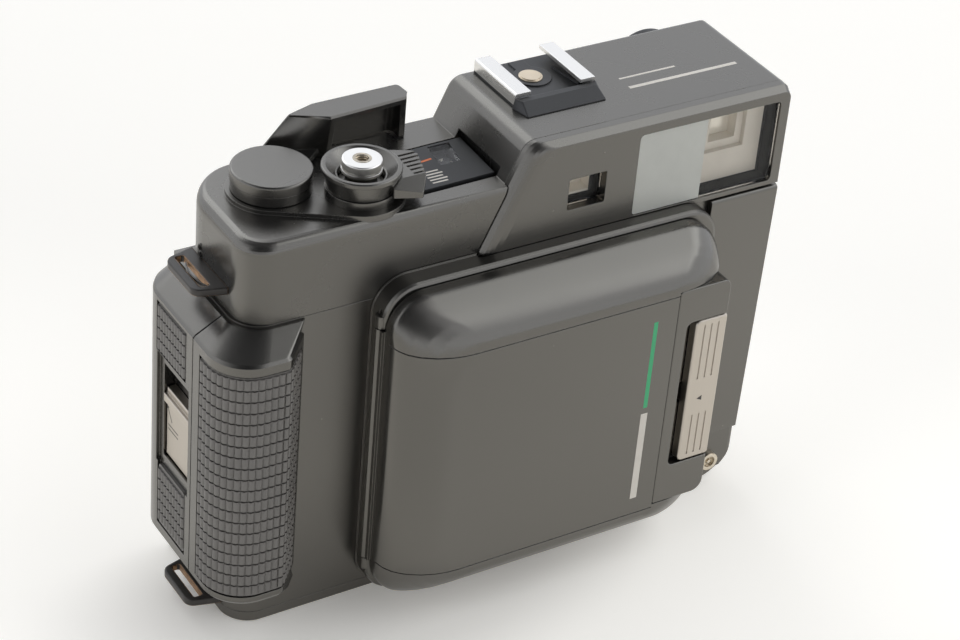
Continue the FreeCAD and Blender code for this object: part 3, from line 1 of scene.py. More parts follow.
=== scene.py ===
import json
import math
import bmesh
import bpy
from bpy.props import FloatProperty, FloatVectorProperty, IntProperty, PointerProperty
from mathutils import Matrix, Vector
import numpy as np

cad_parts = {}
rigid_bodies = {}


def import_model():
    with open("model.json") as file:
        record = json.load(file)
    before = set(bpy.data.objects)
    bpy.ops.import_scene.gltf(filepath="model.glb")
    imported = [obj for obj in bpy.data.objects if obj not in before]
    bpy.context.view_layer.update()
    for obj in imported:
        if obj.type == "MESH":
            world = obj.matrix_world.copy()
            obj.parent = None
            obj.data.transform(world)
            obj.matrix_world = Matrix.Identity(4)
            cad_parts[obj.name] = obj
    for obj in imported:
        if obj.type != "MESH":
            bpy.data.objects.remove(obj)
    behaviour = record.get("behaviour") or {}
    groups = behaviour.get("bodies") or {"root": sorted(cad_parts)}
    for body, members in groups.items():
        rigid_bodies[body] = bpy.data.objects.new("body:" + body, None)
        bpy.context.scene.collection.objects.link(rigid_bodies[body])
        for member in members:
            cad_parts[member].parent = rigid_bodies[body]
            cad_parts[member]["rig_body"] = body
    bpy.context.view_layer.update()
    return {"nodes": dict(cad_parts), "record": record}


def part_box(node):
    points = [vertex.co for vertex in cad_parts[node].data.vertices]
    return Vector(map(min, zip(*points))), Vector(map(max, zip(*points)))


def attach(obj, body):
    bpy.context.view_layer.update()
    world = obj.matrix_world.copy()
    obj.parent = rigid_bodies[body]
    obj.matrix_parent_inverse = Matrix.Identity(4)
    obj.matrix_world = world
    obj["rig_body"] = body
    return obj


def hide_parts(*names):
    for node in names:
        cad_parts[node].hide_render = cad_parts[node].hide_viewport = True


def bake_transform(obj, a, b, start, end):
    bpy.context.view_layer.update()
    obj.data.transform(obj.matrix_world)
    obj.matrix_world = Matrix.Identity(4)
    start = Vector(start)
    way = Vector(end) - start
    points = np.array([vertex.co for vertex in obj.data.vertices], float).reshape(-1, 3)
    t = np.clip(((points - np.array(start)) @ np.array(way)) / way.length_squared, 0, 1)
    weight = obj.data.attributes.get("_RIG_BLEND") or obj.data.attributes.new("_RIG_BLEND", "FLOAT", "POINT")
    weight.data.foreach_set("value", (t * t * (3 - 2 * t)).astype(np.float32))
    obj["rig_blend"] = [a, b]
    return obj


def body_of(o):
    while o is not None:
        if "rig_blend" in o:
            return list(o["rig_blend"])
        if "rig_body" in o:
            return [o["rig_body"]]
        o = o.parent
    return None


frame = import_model()
NODES = frame["nodes"]
SLOTS = {part["node"]: part["material_slot"] for part in frame["record"]["subparts"]}

bl_info = {
    "name": "Folding Camera Dress",
    "version": (1, 0, 0),
    "blender": (4, 5, 0),
    "location": "View3D > Sidebar > Folding Camera",
    "description": "Finishes and fine parts of a medium format folding camera",
    "category": "Object",
}

MM = 0.001
ROUND = math.radians(38)
SMOOTHED = ("front_door",)
GRAIN_DEPTH = 0.0001
PAD_LOW, PAD_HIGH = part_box("grip_pad")
PAD_PROUD = 0.00035
PAD_GAP = 0.0003
GRIP_FOOT = (-0.0493, -0.0155)
GRIP_LEAN = 0.89
GRIP_EDGE = 0.002
DOOR_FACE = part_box("front_door")[0].y / MM
HOUSE_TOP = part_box("finder_bezel")[1].z / MM
BUTTON_LOW, BUTTON_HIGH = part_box("shutter_button")
BUTTON = (BUTTON_LOW + BUTTON_HIGH) / 2
LENS_LOW, LENS_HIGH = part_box("focus_ring")
LENS = (LENS_LOW + LENS_HIGH) / 2
FLOOR_SIZE = 2.6
CAMERA_LENS = 101.966
CAMERA_TURN = [math.radians(angle) for angle in (-33.8524, 34.0611, 5.2223)]
CAMERA_TARGET = (0.0050751, 0, 0.0543206)
CAMERA_AWAY = 0.6196505
LAMP_TINT = (0.94, 0.97, 1.0)
LAMP_AIM = (0, 0, 0.05)


# Sizes and colours

def tint_setting(name, description, value):
    return FloatVectorProperty(name=name, description=description, subtype="COLOR", size=3, min=0, max=1,
                               default=value)


def size_setting(name, description, value, low, high):
    return FloatProperty(name=name, description=description, subtype="DISTANCE", unit="LENGTH", min=low, max=high,
                         default=value)


def power_setting(name, description, value):
    return FloatProperty(name=name, description=description, unit="POWER", min=0, max=200, default=value)


class PaintSettings(bpy.types.PropertyGroup):
    body: tint_setting("Body paint", "Satin black of the cast body", (0.0135, 0.0128, 0.0116))
    cover: tint_setting("Cover paint", "Satin black of top cover and grip", (0.0130, 0.0125, 0.0118))
    rubber: tint_setting("Grip rubber", "Ribbed pads", (0.095, 0.086, 0.075))
    silver: tint_setting("Satin silver", "Latch bar and back catch", (0.50, 0.455, 0.395))
    worn: tint_setting("Worn brass", "Bare metal in the strap lugs", (0.40, 0.24, 0.13))
    white_mark: tint_setting("White marks", "Filled marks and numbers", (0.72, 0.67, 0.585))
    green_mark: tint_setting("Green marks", "Second colour of the door's line", (0.05, 0.40, 0.17))
    orange_mark: tint_setting("Orange mark", "Index beside the counter", (0.75, 0.17, 0.04))


class GripSettings(bpy.types.PropertyGroup):
    column: size_setting("Column pitch", "Distance between the upright ribs", 0.0015, 0.0005, 0.01)
    side_column: size_setting("Side column pitch", "Distance between the ribs of the side pads", 0.0013, 0.0005, 0.01)
    row: size_setting("Row pitch", "Distance between the rows of ribs", 0.0029, 0.0005, 0.02)
    height: size_setting("Rib height", "How far a rib stands off its pad", 0.0005, 0.0001, 0.002)
    notch: size_setting("Notch", "Gap between two ribs of a column", 0.00042, 0.0001, 0.002)
    valley: FloatProperty(name="Valley", description="Share of a rib's height that its sides fall by",
                          subtype="FACTOR", min=0, max=0.95, default=0.78)
    bed_corner: size_setting("Pad corner", "Round corner of each pad", 0.0009, 0.0001, 0.003)
    corner: size_setting("Corner radius", "Round corner of the grip", 0.0095, 0.001, 0.03)


class FineSettings(bpy.types.PropertyGroup):
    folds: IntProperty(name="Bellows folds", description="Pleats of the bellows", min=3, max=20, default=8)
    side_screw: size_setting("Side screw radius", "Two small screws by the strap lug", 0.00078, 0.0003, 0.003)
    light: power_setting("Softbox power", "Large lamp at the right", 3.2)
    fill: power_setting("Back power", "Smaller lamp behind the camera", 2.0)


def settings():
    scene = bpy.context.scene
    return scene.dress_paint, scene.dress_grip, scene.dress_fine


# Meshes

def new_object(name, data):
    made = bpy.data.objects.new(name, data)
    bpy.context.scene.collection.objects.link(made)
    return made


def baked(carrier):
    """Mesh of an object with its modifiers applied; the object itself is removed."""
    bpy.context.view_layer.update()
    mesh = bpy.data.meshes.new_from_object(carrier.evaluated_get(bpy.context.evaluated_depsgraph_get()))
    bpy.data.objects.remove(carrier)
    return mesh


def finish_piece(name, bm, material, body=None, smooth=True):
    """Turn a bmesh into a piece of the object, at the origin, riding on its body."""
    bmesh.ops.remove_doubles(bm, verts=bm.verts, dist=1e-7)
    bmesh.ops.recalc_face_normals(bm, faces=bm.faces)
    mesh = bpy.data.meshes.new(name)
    bm.to_mesh(mesh)
    bm.free()
    for face in mesh.polygons:
        face.use_smooth = smooth
    piece = new_object(name, mesh)
    mesh.materials.append(material)
    if body:
        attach(piece, body)
    return piece


def eased(normal):
    """Normal of the door's broad left round, turned less than its facets, up to its crisp edge."""
    turn = math.atan2(-normal.x, -normal.y)
    if normal.y >= 0 or turn <= 0:
        return normal
    turn = turn * 0.5 if turn < math.radians(60) else 2 * turn - math.radians(90)
    flat = math.hypot(normal.x, normal.y)
    return Vector((-flat * math.sin(turn), -flat * math.cos(turn), normal.z))


def smooth_copy(node):
    """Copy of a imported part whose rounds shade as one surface, standing in its place."""
    source = NODES[node]
    bm = bmesh.new()
    bm.from_mesh(source.data)
    bmesh.ops.remove_doubles(bm, verts=bm.verts, dist=1e-6)
    for edge in bm.edges:
        edge.smooth = len(edge.link_faces) == 2 and edge.calc_face_angle(0.0) < ROUND
    mesh = bpy.data.meshes.new(node + "_smooth")
    bm.to_mesh(mesh)
    bm.free()
    for face in mesh.polygons:
        face.use_smooth = True
    carrier = new_object(node + "_carrier", mesh)
    carrier.modifiers.new("Weigh", "WEIGHTED_NORMAL").keep_sharp = True
    shaded = baked(carrier)
    shaded.name = node + "_smooth"
    shaded.normals_split_custom_set([eased(corner.vector) for corner in shaded.corner_normals])
    shaded.materials.clear()
    shaded.materials.append(source.material_slots[0].material)
    piece = new_object(node + "_smooth", shaded)
    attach(piece, body_of(source)[0])
    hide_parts(node)


def loft(bm, rings, closed=False):
    """Faces from ring to ring of points, and over both ends unless the last ring meets the first."""
    made = [[bm.verts.new(point) for point in ring] for ring in rings]
    for one, two in zip(made, made[1:] + made[:1] if closed else made[1:]):
        for k in range(len(one)):
            j = (k + 1) % len(one)
            bm.faces.new((one[k], one[j], two[j], two[k]))
    if not closed:
        bm.faces.new(made[0])
        bm.faces.new(made[-1])


def prism(bm, points, push):
    """Closed solid from a flat outline and the vector it is pushed along."""
    loft(bm, [points, [Vector(point) + Vector(push) for point in points]])


def block(bm, low, high):
    """Box between two corners."""
    (x0, y0, z0), (x1, y1, z1) = low, high
    prism(bm, [(x0, y0, z0), (x1, y0, z0), (x1, y1, z0), (x0, y1, z0)], (0, 0, z1 - z0))


def boxes(name, corners, colour, body):
    """Piece made of boxes, each given by two corners in mm."""
    bm = bmesh.new()
    for low, high in corners:
        block(bm, Vector(low) * MM, Vector(high) * MM)
    finish_piece(name, bm, FINISHES[colour], body, smooth=False)


def rounded(corners, steps=10):
    """Open path through corners (a, b, radius), rounded at each corner between its ends."""
    path = [Vector(corners[0][:2])]
    for before, (x, y, r), after in zip(corners, corners[1:], corners[2:]):
        here = Vector((x, y))
        a = (Vector(before[:2]) - here).normalized()
        b = (Vector(after[:2]) - here).normalized()
        half = a.angle(b) / 2
        centre = here + (a + b).normalized() * (r / math.sin(half))
        start = here + a * (r / math.tan(half)) - centre
        end = here + b * (r / math.tan(half)) - centre
        turn = -start.angle_signed(end)
        for k in range(steps + 1):
            path.append(centre + Matrix.Rotation(turn * k / steps, 2) @ start)
    path.append(Vector(corners[-1][:2]))
    return path


def grip_path(grow, ends):
    """Plan of the grip pad: its right wall, the front, the round corner and the left side."""
    side, front = PAD_LOW.x + PAD_PROUD - grow, PAD_LOW.y + PAD_PROUD - grow
    foot = GRIP_FOOT[0] + grow * math.hypot(1.0, GRIP_LEAN)
    right = PAD_HIGH.x - ends * GRIP_LEAN / math.hypot(1.0, GRIP_LEAN)
    corners = [(right, GRIP_FOOT[1] + (right - foot) / GRIP_LEAN, 0),
               (foot + GRIP_LEAN * (front - GRIP_FOOT[1]), front, GRIP_EDGE),
               (side, front, settings()[1].corner), (side, PAD_HIGH.y - ends, 0)]
    return rounded(corners)


def spread_out(path, count):
    """Evenly spaced points along a path, and the distance of each from its start."""
    lengths = [0.0]
    for a, b in zip(path, path[1:]):
        lengths.append(lengths[-1] + (b - a).length)
    points = []
    k = 0
    for i in range(count + 1):
        s = lengths[-1] * i / count
        while k < len(path) - 2 and lengths[k + 1] < s:
            k += 1
        share = (s - lengths[k]) / max(lengths[k + 1] - lengths[k], 1e-9)
        points.append((path[k].lerp(path[k + 1], min(1.0, share)), s))
    return points


def pad_bed(name, front, back, low, high, body):
    """Rubber sheet between two paths, its four corners rounded."""
    r = settings()[1].bed_corner
    length = spread_out(front, 1)[-1][1]
    count = max(12, round(length / 0.0003))
    rings = []
    for (a, s), (b, _) in zip(spread_out(front, count), spread_out(back, count)):
        near = min(s, length - s, r)
        drop = r - math.sqrt(max(0.0, r * r - (r - near) ** 2))
        rings.append([(q.x, q.y, z) for q, z in ((a, low + drop), (a, high - drop), (b, high - drop),
                                                 (b, low + drop))])
    bm = bmesh.new()
    loft(bm, rings)
    return finish_piece(name, bm, FINISHES["grip_rubber"], body, smooth=False)


# Node trees and geometry

def new_tree(name, inputs, outputs, kind="ShaderNodeTree"):
    """Node tree with named inputs and outputs; returns it with the sockets of its two ends."""
    tree = bpy.data.node_groups.new(name, kind)
    for way, sockets in (("INPUT", inputs), ("OUTPUT", outputs)):
        for label, socket, *value in sockets:
            made = tree.interface.new_socket(name=label, in_out=way, socket_type="NodeSocket" + socket)
            if value:
                made.default_value = value[0]
    return tree, tree.nodes.new("NodeGroupInput").outputs, tree.nodes.new("NodeGroupOutput").inputs


def new_shape_tree(name, sizes):
    return new_tree(name, [("Geometry", "Geometry"), *sizes], [("Geometry", "Geometry")], "GeometryNodeTree")


def feed(tree, sockets, inputs):
    """Give sockets a value or a link."""
    for key, value in inputs.items():
        if isinstance(value, bpy.types.NodeSocket):
            tree.links.new(value, sockets[key])
        else:
            sockets[key].default_value = value


def add(tree, kind, inputs=None, **choices):
    """New node with its choices set and its inputs fed."""
    node = tree.nodes.new(kind)
    for key, value in choices.items():
        setattr(node, key, value)
    feed(tree, node.inputs, inputs or {})
    return node


def calc(tree, operation, a, b=0.0, c=0.0):
    return add(tree, "ShaderNodeMath", {0: a, 1: b, 2: c}, operation=operation).outputs[0]


def end_tree(tree, out, geometry, material):
    """Smooth rounds with sharp edges kept, made real and painted."""
    smooth = add(tree, "GeometryNodeSetShadeSmooth", {0: geometry})
    sharp = calc(tree, "GREATER_THAN", add(tree, "GeometryNodeInputMeshEdgeAngle").outputs[0], ROUND)
    crisp = add(tree, "GeometryNodeSetShadeSmooth", {0: smooth.outputs[0], 1: sharp, 2: False}, domain="EDGE")
    real = add(tree, "GeometryNodeRealizeInstances", {0: crisp.outputs[0]})
    painted = add(tree, "GeometryNodeSetMaterial", {"Geometry": real.outputs[0], "Material": material})
    tree.links.new(painted.outputs[0], out[0])


def grow_nodes(name, points, edges, tree, values, body):
    """Run a tree on a few points and keep its result as a plain mesh riding on a body."""
    seed = bpy.data.meshes.new(name + "_seed")
    seed.from_pydata([tuple(p) for p in points], edges, [])
    carrier = new_object(name + "_seed", seed)
    modifier = carrier.modifiers.new("Build", "NODES")
    modifier.node_group = tree
    for item in tree.interface.items_tree:
        if item.in_out == "INPUT" and item.name in values:
            modifier[item.identifier] = values[item.name]
    mesh = baked(carrier)
    mesh.name = name
    bpy.data.meshes.remove(seed)
    if not mesh.polygons:
        raise RuntimeError(name + " came out empty")
    piece = new_object(name, mesh)
    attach(piece, body)
    return piece


def rib_tree(material):
    """Half-round upright ribs in rows and columns along a path, with a notch between the rows."""
    tree, given, out = new_shape_tree("Rib field", [("Column", "Float"), ("Row", "Float"), ("Rows", "Int"),
                                                    ("Notch", "Float"), ("Height", "Float"), ("Valley", "Float")])
    wide = calc(tree, "MULTIPLY", given["Column"], 1.03)
    size = add(tree, "ShaderNodeCombineXYZ", {0: wide, 1: calc(tree, "MULTIPLY", given["Height"], 2.0),
                                              2: calc(tree, "SUBTRACT", given["Row"], given["Notch"])})
    stick = add(tree, "GeometryNodeMeshCube", {"Size": size.outputs[0], "Vertices X": 7, "Vertices Y": 2,
                                               "Vertices Z": 2})
    spot = add(tree, "ShaderNodeSeparateXYZ", {0: add(tree, "GeometryNodeInputPosition").outputs[0]})
    across = calc(tree, "DIVIDE", calc(tree, "MULTIPLY", spot.outputs[0], 2.0), wide)
    crown = calc(tree, "MULTIPLY_ADD", calc(tree, "MULTIPLY", across, across),
                 calc(tree, "MULTIPLY", given["Valley"], -1.0), 1.0)
    place = add(tree, "ShaderNodeCombineXYZ", {0: spot.outputs[0], 1: calc(tree, "MULTIPLY", spot.outputs[1], crown),
                                               2: spot.outputs[2]})
    rib = add(tree, "GeometryNodeSetPosition", {"Geometry": stick.outputs[0], "Position": place.outputs[0]})
    step = add(tree, "ShaderNodeCombineXYZ", {2: given["Row"]})
    line = add(tree, "GeometryNodeMeshLine", {"Count": given["Rows"], "Offset": step.outputs[0]})
    column = add(tree, "GeometryNodeInstanceOnPoints", {"Points": line.outputs[0], "Instance": rib.outputs[0]})
    curve = add(tree, "GeometryNodeMeshToCurve", {"Mesh": given["Geometry"]})
    spots = add(tree, "GeometryNodeResampleCurve", {"Curve": curve.outputs[0], "Length": given["Column"]},
                mode="LENGTH")
    tangent = add(tree, "GeometryNodeInputTangent")
    turn = add(tree, "FunctionNodeAlignRotationToVector", {"Vector": tangent.outputs[0]}, axis="X", pivot_axis="Z")
    field = add(tree, "GeometryNodeInstanceOnPoints", {"Points": spots.outputs[0], "Instance": column.outputs[0],
                                                      "Rotation": turn.outputs[0]})
    end_tree(tree, out, field.outputs[0], material)
    return tree


def thread_tree(material):
    """Helical thread inside a hole, on each point given."""
    tree, given, out = new_shape_tree("Thread", [("Radius", "Float"), ("Length", "Float"), ("Turns", "Float"),
                                                 ("Wire", "Float")])
    helix = add(tree, "GeometryNodeCurveSpiral", {"Resolution": 28, "Rotations": given["Turns"],
                                                  "Start Radius": given["Radius"], "End Radius": given["Radius"],
                                                  "Height": given["Length"]})
    section = add(tree, "GeometryNodeCurvePrimitiveCircle", {"Resolution": 4, "Radius": given["Wire"]})
    wire = add(tree, "GeometryNodeCurveToMesh", {"Curve": helix.outputs[0], "Profile Curve": section.outputs[0],
                                                 "Fill Caps": True})
    placed = add(tree, "GeometryNodeInstanceOnPoints", {"Points": given["Geometry"], "Instance": wire.outputs[0]})
    end_tree(tree, out, placed.outputs[0], material)
    return tree


def screw_tree(material):
    """Countersunk screw heads with a slot, standing along an axis."""
    tree, given, out = new_shape_tree("Screw heads", [("Radius", "Float"), ("Height", "Float"), ("Turn", "Vector")])
    low = add(tree, "GeometryNodeMeshCylinder", {"Vertices": 24, "Side Segments": 1, "Radius": given["Radius"],
                                                 "Depth": given["Height"]})
    crown = calc(tree, "MULTIPLY", given["Radius"], 0.86)
    lift = add(tree, "ShaderNodeCombineXYZ", {2: calc(tree, "MULTIPLY", given["Height"], 0.62)})
    top = add(tree, "GeometryNodeMeshCylinder", {"Vertices": 24, "Radius": crown,
                                                 "Depth": calc(tree, "MULTIPLY", given["Height"], 0.3)})
    raised = add(tree, "GeometryNodeTransform", {"Geometry": top.outputs[0], "Translation": lift.outputs[0]})
    body = add(tree, "GeometryNodeJoinGeometry")
    tree.links.new(low.outputs[0], body.inputs[0])
    tree.links.new(raised.outputs[0], body.inputs[0])
    bar = add(tree, "ShaderNodeCombineXYZ", {0: calc(tree, "MULTIPLY", given["Radius"], 3.0),
                                             1: calc(tree, "MULTIPLY", given["Radius"], 0.26),
                                             2: calc(tree, "MULTIPLY", given["Height"], 0.9)})
    slot = add(tree, "GeometryNodeMeshCube", {"Size": bar.outputs[0]})
    up = add(tree, "ShaderNodeCombineXYZ", {2: calc(tree, "MULTIPLY", given["Height"], 0.75)})
    slot = add(tree, "GeometryNodeTransform", {"Geometry": slot.outputs[0], "Translation": up.outputs[0]})
    head = add(tree, "GeometryNodeMeshBoolean", {"Mesh 1": body.outputs[0], "Mesh 2": slot.outputs[0]},
               operation="DIFFERENCE")
    turn = add(tree, "FunctionNodeEulerToRotation", {0: given["Turn"]})
    set_of = add(tree, "GeometryNodeInstanceOnPoints", {"Points": given["Geometry"], "Instance": head.outputs[0],
                                                       "Rotation": turn.outputs[0]})
    end_tree(tree, out, set_of.outputs[0], material)
    return tree


def tick_tree(material):
    """Short radial marks round a circle that lies square to y."""
    tree, given, out = new_shape_tree("Ticks", [("Count", "Int"), ("Radius", "Float"), ("Size", "Vector")])
    ring = add(tree, "GeometryNodeMeshCircle", {"Vertices": given["Count"], "Radius": given["Radius"]})
    tick = add(tree, "GeometryNodeMeshCube", {"Size": given["Size"]})
    spot = add(tree, "GeometryNodeInputPosition")
    turn = add(tree, "FunctionNodeAlignRotationToVector", {"Vector": spot.outputs[0]}, axis="X", pivot_axis="Z")
    marks = add(tree, "GeometryNodeInstanceOnPoints", {"Points": ring.outputs[0], "Instance": tick.outputs[0],
                                                      "Rotation": turn.outputs[0]})
    upright = add(tree, "GeometryNodeTransform", {"Geometry": marks.outputs[0],
                                                  "Rotation": (math.pi / 2, 0, 0)})
    placed = add(tree, "GeometryNodeInstanceOnPoints", {"Points": given["Geometry"],
                                                       "Instance": upright.outputs[0]})
    end_tree(tree, out, placed.outputs[0], material)
    return tree


# Shader groups and finishes

def ramp(tree, value, low, high, to_low=0.0, to_high=1.0):
    return add(tree, "ShaderNodeMapRange", {0: value, 1: low, 2: high, 3: to_low, 4: to_high},
               interpolation_type="SMOOTHSTEP").outputs[0]


def edge_group():
    """Rounded edges and a ragged mask of what has rubbed off along them; on the glossy paints the same mask also
    carries a painted highlight.
    """
    tree, given, out = new_tree("Edge wear and highlight", [("Vector", "Vector"), ("Radius", "Float", 0.0003),
                                              ("Amount", "Float", 0.3), ("Scale", "Float", 900.0)],
                                [("Mask", "Float"), ("Normal", "Vector")])
    bevel = add(tree, "ShaderNodeBevel", {"Radius": given["Radius"]}, samples=6)
    surface = add(tree, "ShaderNodeNewGeometry")
    same = add(tree, "ShaderNodeVectorMath", {0: bevel.outputs[0], 1: surface.outputs["True Normal"]},
               operation="DOT_PRODUCT")
    edge = ramp(tree, calc(tree, "SUBTRACT", 1.0, same.outputs["Value"]), 0.03, 0.30)
    rough = add(tree, "ShaderNodeTexNoise", {"Vector": given["Vector"], "Scale": given["Scale"], "Detail": 4.0})
    need = calc(tree, "SUBTRACT", 1.0, given["Amount"])
    both = calc(tree, "MULTIPLY", edge, calc(tree, "ADD", rough.outputs[0], 0.35))
    mask = ramp(tree, both, need, calc(tree, "ADD", need, 0.12))
    feed(tree, out, {"Mask": mask, "Normal": bevel.outputs[0]})
    return tree


def tone_group():
    """Slow change of tone over a surface, and the fine grain of its finish."""
    tree, given, out = new_tree("Tone and grain", [("Vector", "Vector"), ("Scale", "Float", 40.0),
                                                   ("Grain", "Float", 4000.0)],
                                [("Tone", "Float"), ("Grain", "Float")])
    slow = add(tree, "ShaderNodeTexNoise", {"Vector": given["Vector"], "Scale": given["Scale"], "Detail": 5.0,
                                            "Roughness": 0.6})
    fine = add(tree, "ShaderNodeTexNoise", {"Vector": given["Vector"], "Scale": given["Grain"], "Detail": 2.0})
    feed(tree, out, {"Tone": slow.outputs[0], "Grain": fine.outputs[0]})
    return tree


def dust_group():
    """Scattered specks of dust on what faces up."""
    tree, given, out = new_tree("Dust", [("Vector", "Vector"), ("Scale", "Float", 500.0), ("Amount", "Float", 0.1)],
                                [("Mask", "Float")])
    cells = add(tree, "ShaderNodeTexVoronoi", {"Vector": given["Vector"], "Scale": given["Scale"]})
    chance = add(tree, "ShaderNodeSeparateColor", {0: cells.outputs["Color"]})
    small = ramp(tree, cells.outputs["Distance"], 0.05, 0.13, 1.0, 0.0)
    chosen = calc(tree, "LESS_THAN", chance.outputs[0], given["Amount"])
    surface = add(tree, "ShaderNodeNewGeometry")
    face = add(tree, "ShaderNodeSeparateXYZ", {0: surface.outputs["Normal"]})
    upward = ramp(tree, face.outputs[2], -0.2, 0.6, 0.25, 1.0)
    feed(tree, out, {"Mask": calc(tree, "MULTIPLY", calc(tree, "MULTIPLY", small, chosen), upward)})
    return tree


GROUPS = {}


def use_group(tree, name, inputs):
    """Node of a shader group, which is made at its first use."""
    if name not in GROUPS:
        GROUPS[name] = {"edge": edge_group, "tone": tone_group, "dust": dust_group}[name]()
    return add(tree, "ShaderNodeGroup", inputs, node_tree=GROUPS[name])


def blend(tree, factor, a, b):
    """Mix of two colours, each given plain or as a link."""
    a, b = [value if isinstance(value, bpy.types.NodeSocket) else (*value, 1.0) for value in (a, b)]
    return add(tree, "ShaderNodeMix", {0: factor, 6: a, 7: b}, data_type="RGBA").outputs[2]


def shade(colour, factor):
    return tuple(min(1.0, c * factor) for c in colour)


FINISHES = {}


def new_material(name):
    """New material in FINISHES; returns its tree, its shader's inputs and its Object coordinates."""
    material = FINISHES[name] = bpy.data.materials.new(name)
    material.use_nodes = True
    tree = material.node_tree
    return tree, tree.nodes["Principled BSDF"].inputs, add(tree, "ShaderNodeTexCoord").outputs["Object"]


def finish(name, colour, rough, metallic=0.0, spread=0.14, rough_spread=0.06, tone=45.0, grain=5200.0,
           bump=0.08, radius=0.00025, wear=0.22, worn=None, worn_metal=0.0, dust=0.0, stretch=(1, 1, 1),
           specular=0.5, ior=1.5, tint=(1.0, 1.0, 1.0), painted_glow=0.0):
    """One opaque finish: tone, grain, rounded and rubbed edges (on the glossy paints partly a painted highlight),
    dust, and an optional painted glow.
    """
    tree, shader, place = new_material(name)
    drawn = add(tree, "ShaderNodeMapping", {"Vector": place, "Scale": stretch}).outputs[0]
    tones = use_group(tree, "tone", {"Vector": drawn, "Scale": tone, "Grain": grain})
    edges = use_group(tree, "edge", {"Vector": place, "Radius": radius, "Amount": wear})
    base = blend(tree, ramp(tree, tones.outputs["Tone"], 0.3, 0.7), shade(colour, 1 - spread),
                 shade(colour, 1 + spread))
    base = blend(tree, edges.outputs["Mask"], base, worn or shade(colour, 2.2))
    if dust:
        specks = use_group(tree, "dust", {"Vector": place, "Amount": dust})
        base = blend(tree, specks.outputs["Mask"], base, (0.30, 0.27, 0.23))
    level = ramp(tree, tones.outputs["Tone"], 0.25, 0.75, rough - rough_spread, rough + rough_spread)
    if worn_metal:
        metallic = calc(tree, "MAXIMUM", calc(tree, "MULTIPLY", edges.outputs["Mask"], worn_metal), metallic)
    raised = add(tree, "ShaderNodeBump", {"Strength": bump, "Distance": GRAIN_DEPTH, "Height": tones.outputs["Grain"],
                                          "Normal": edges.outputs["Normal"]})
    # Emission, where a finish has one, is a painted glow in the finish's own colour.
    feed(tree, shader, {"Base Color": base, "Metallic": metallic, "Normal": raised.outputs[0], "IOR": ior,
                        "Roughness": calc(tree, "MULTIPLY_ADD", edges.outputs["Mask"], -0.08, level),
                        "Specular IOR Level": specular, "Specular Tint": (*tint, 1.0), "Emission Color": base,
                        "Emission Strength": painted_glow})


def glass(name, tint, rough, haze=0.0, ior=1.5):
    """Clear, coated or frosted pane, with faint smears."""
    tree, shader, place = new_material(name)
    tones = use_group(tree, "tone", {"Vector": place, "Scale": 90.0, "Grain": 2500.0})
    base = blend(tree, ramp(tree, tones.outputs["Tone"], 0.35, 0.7), tint, shade(tint, 0.94))
    raised = add(tree, "ShaderNodeBump", {"Strength": 0.02 + haze * 0.3, "Distance": GRAIN_DEPTH,
                                          "Height": tones.outputs["Grain"]})
    feed(tree, shader, {"Base Color": base, "Normal": raised.outputs[0], "Transmission Weight": 1.0 - haze,
                        "Roughness": ramp(tree, tones.outputs["Tone"], 0.4, 0.8, rough, rough + 0.04), "IOR": ior})


def cloth(name, colour):
    """Coated cloth with a fine square weave."""
    tree, shader, place = new_material(name)
    tones = use_group(tree, "tone", {"Vector": place, "Scale": 60.0, "Grain": 3000.0})
    lines = []
    for direction in ("X", "Z"):
        wave = add(tree, "ShaderNodeTexWave", {"Vector": place, "Scale": 700.0, "Distortion": 0.6},
                   bands_direction=direction)
        lines.append(wave.outputs["Fac"])
    weave = calc(tree, "MAXIMUM", *lines)
    base = blend(tree, tones.outputs["Tone"], shade(colour, 0.8), shade(colour, 1.3))
    base = blend(tree, calc(tree, "MULTIPLY", weave, 0.35), base, shade(colour, 2.0))
    raised = add(tree, "ShaderNodeBump", {"Strength": 0.3, "Distance": GRAIN_DEPTH, "Height": weave})
    feed(tree, shader, {"Base Color": base, "Roughness": ramp(tree, weave, 0.0, 1.0, 0.72, 0.6),
                        "Normal": raised.outputs[0], "Sheen Weight": 0.2})


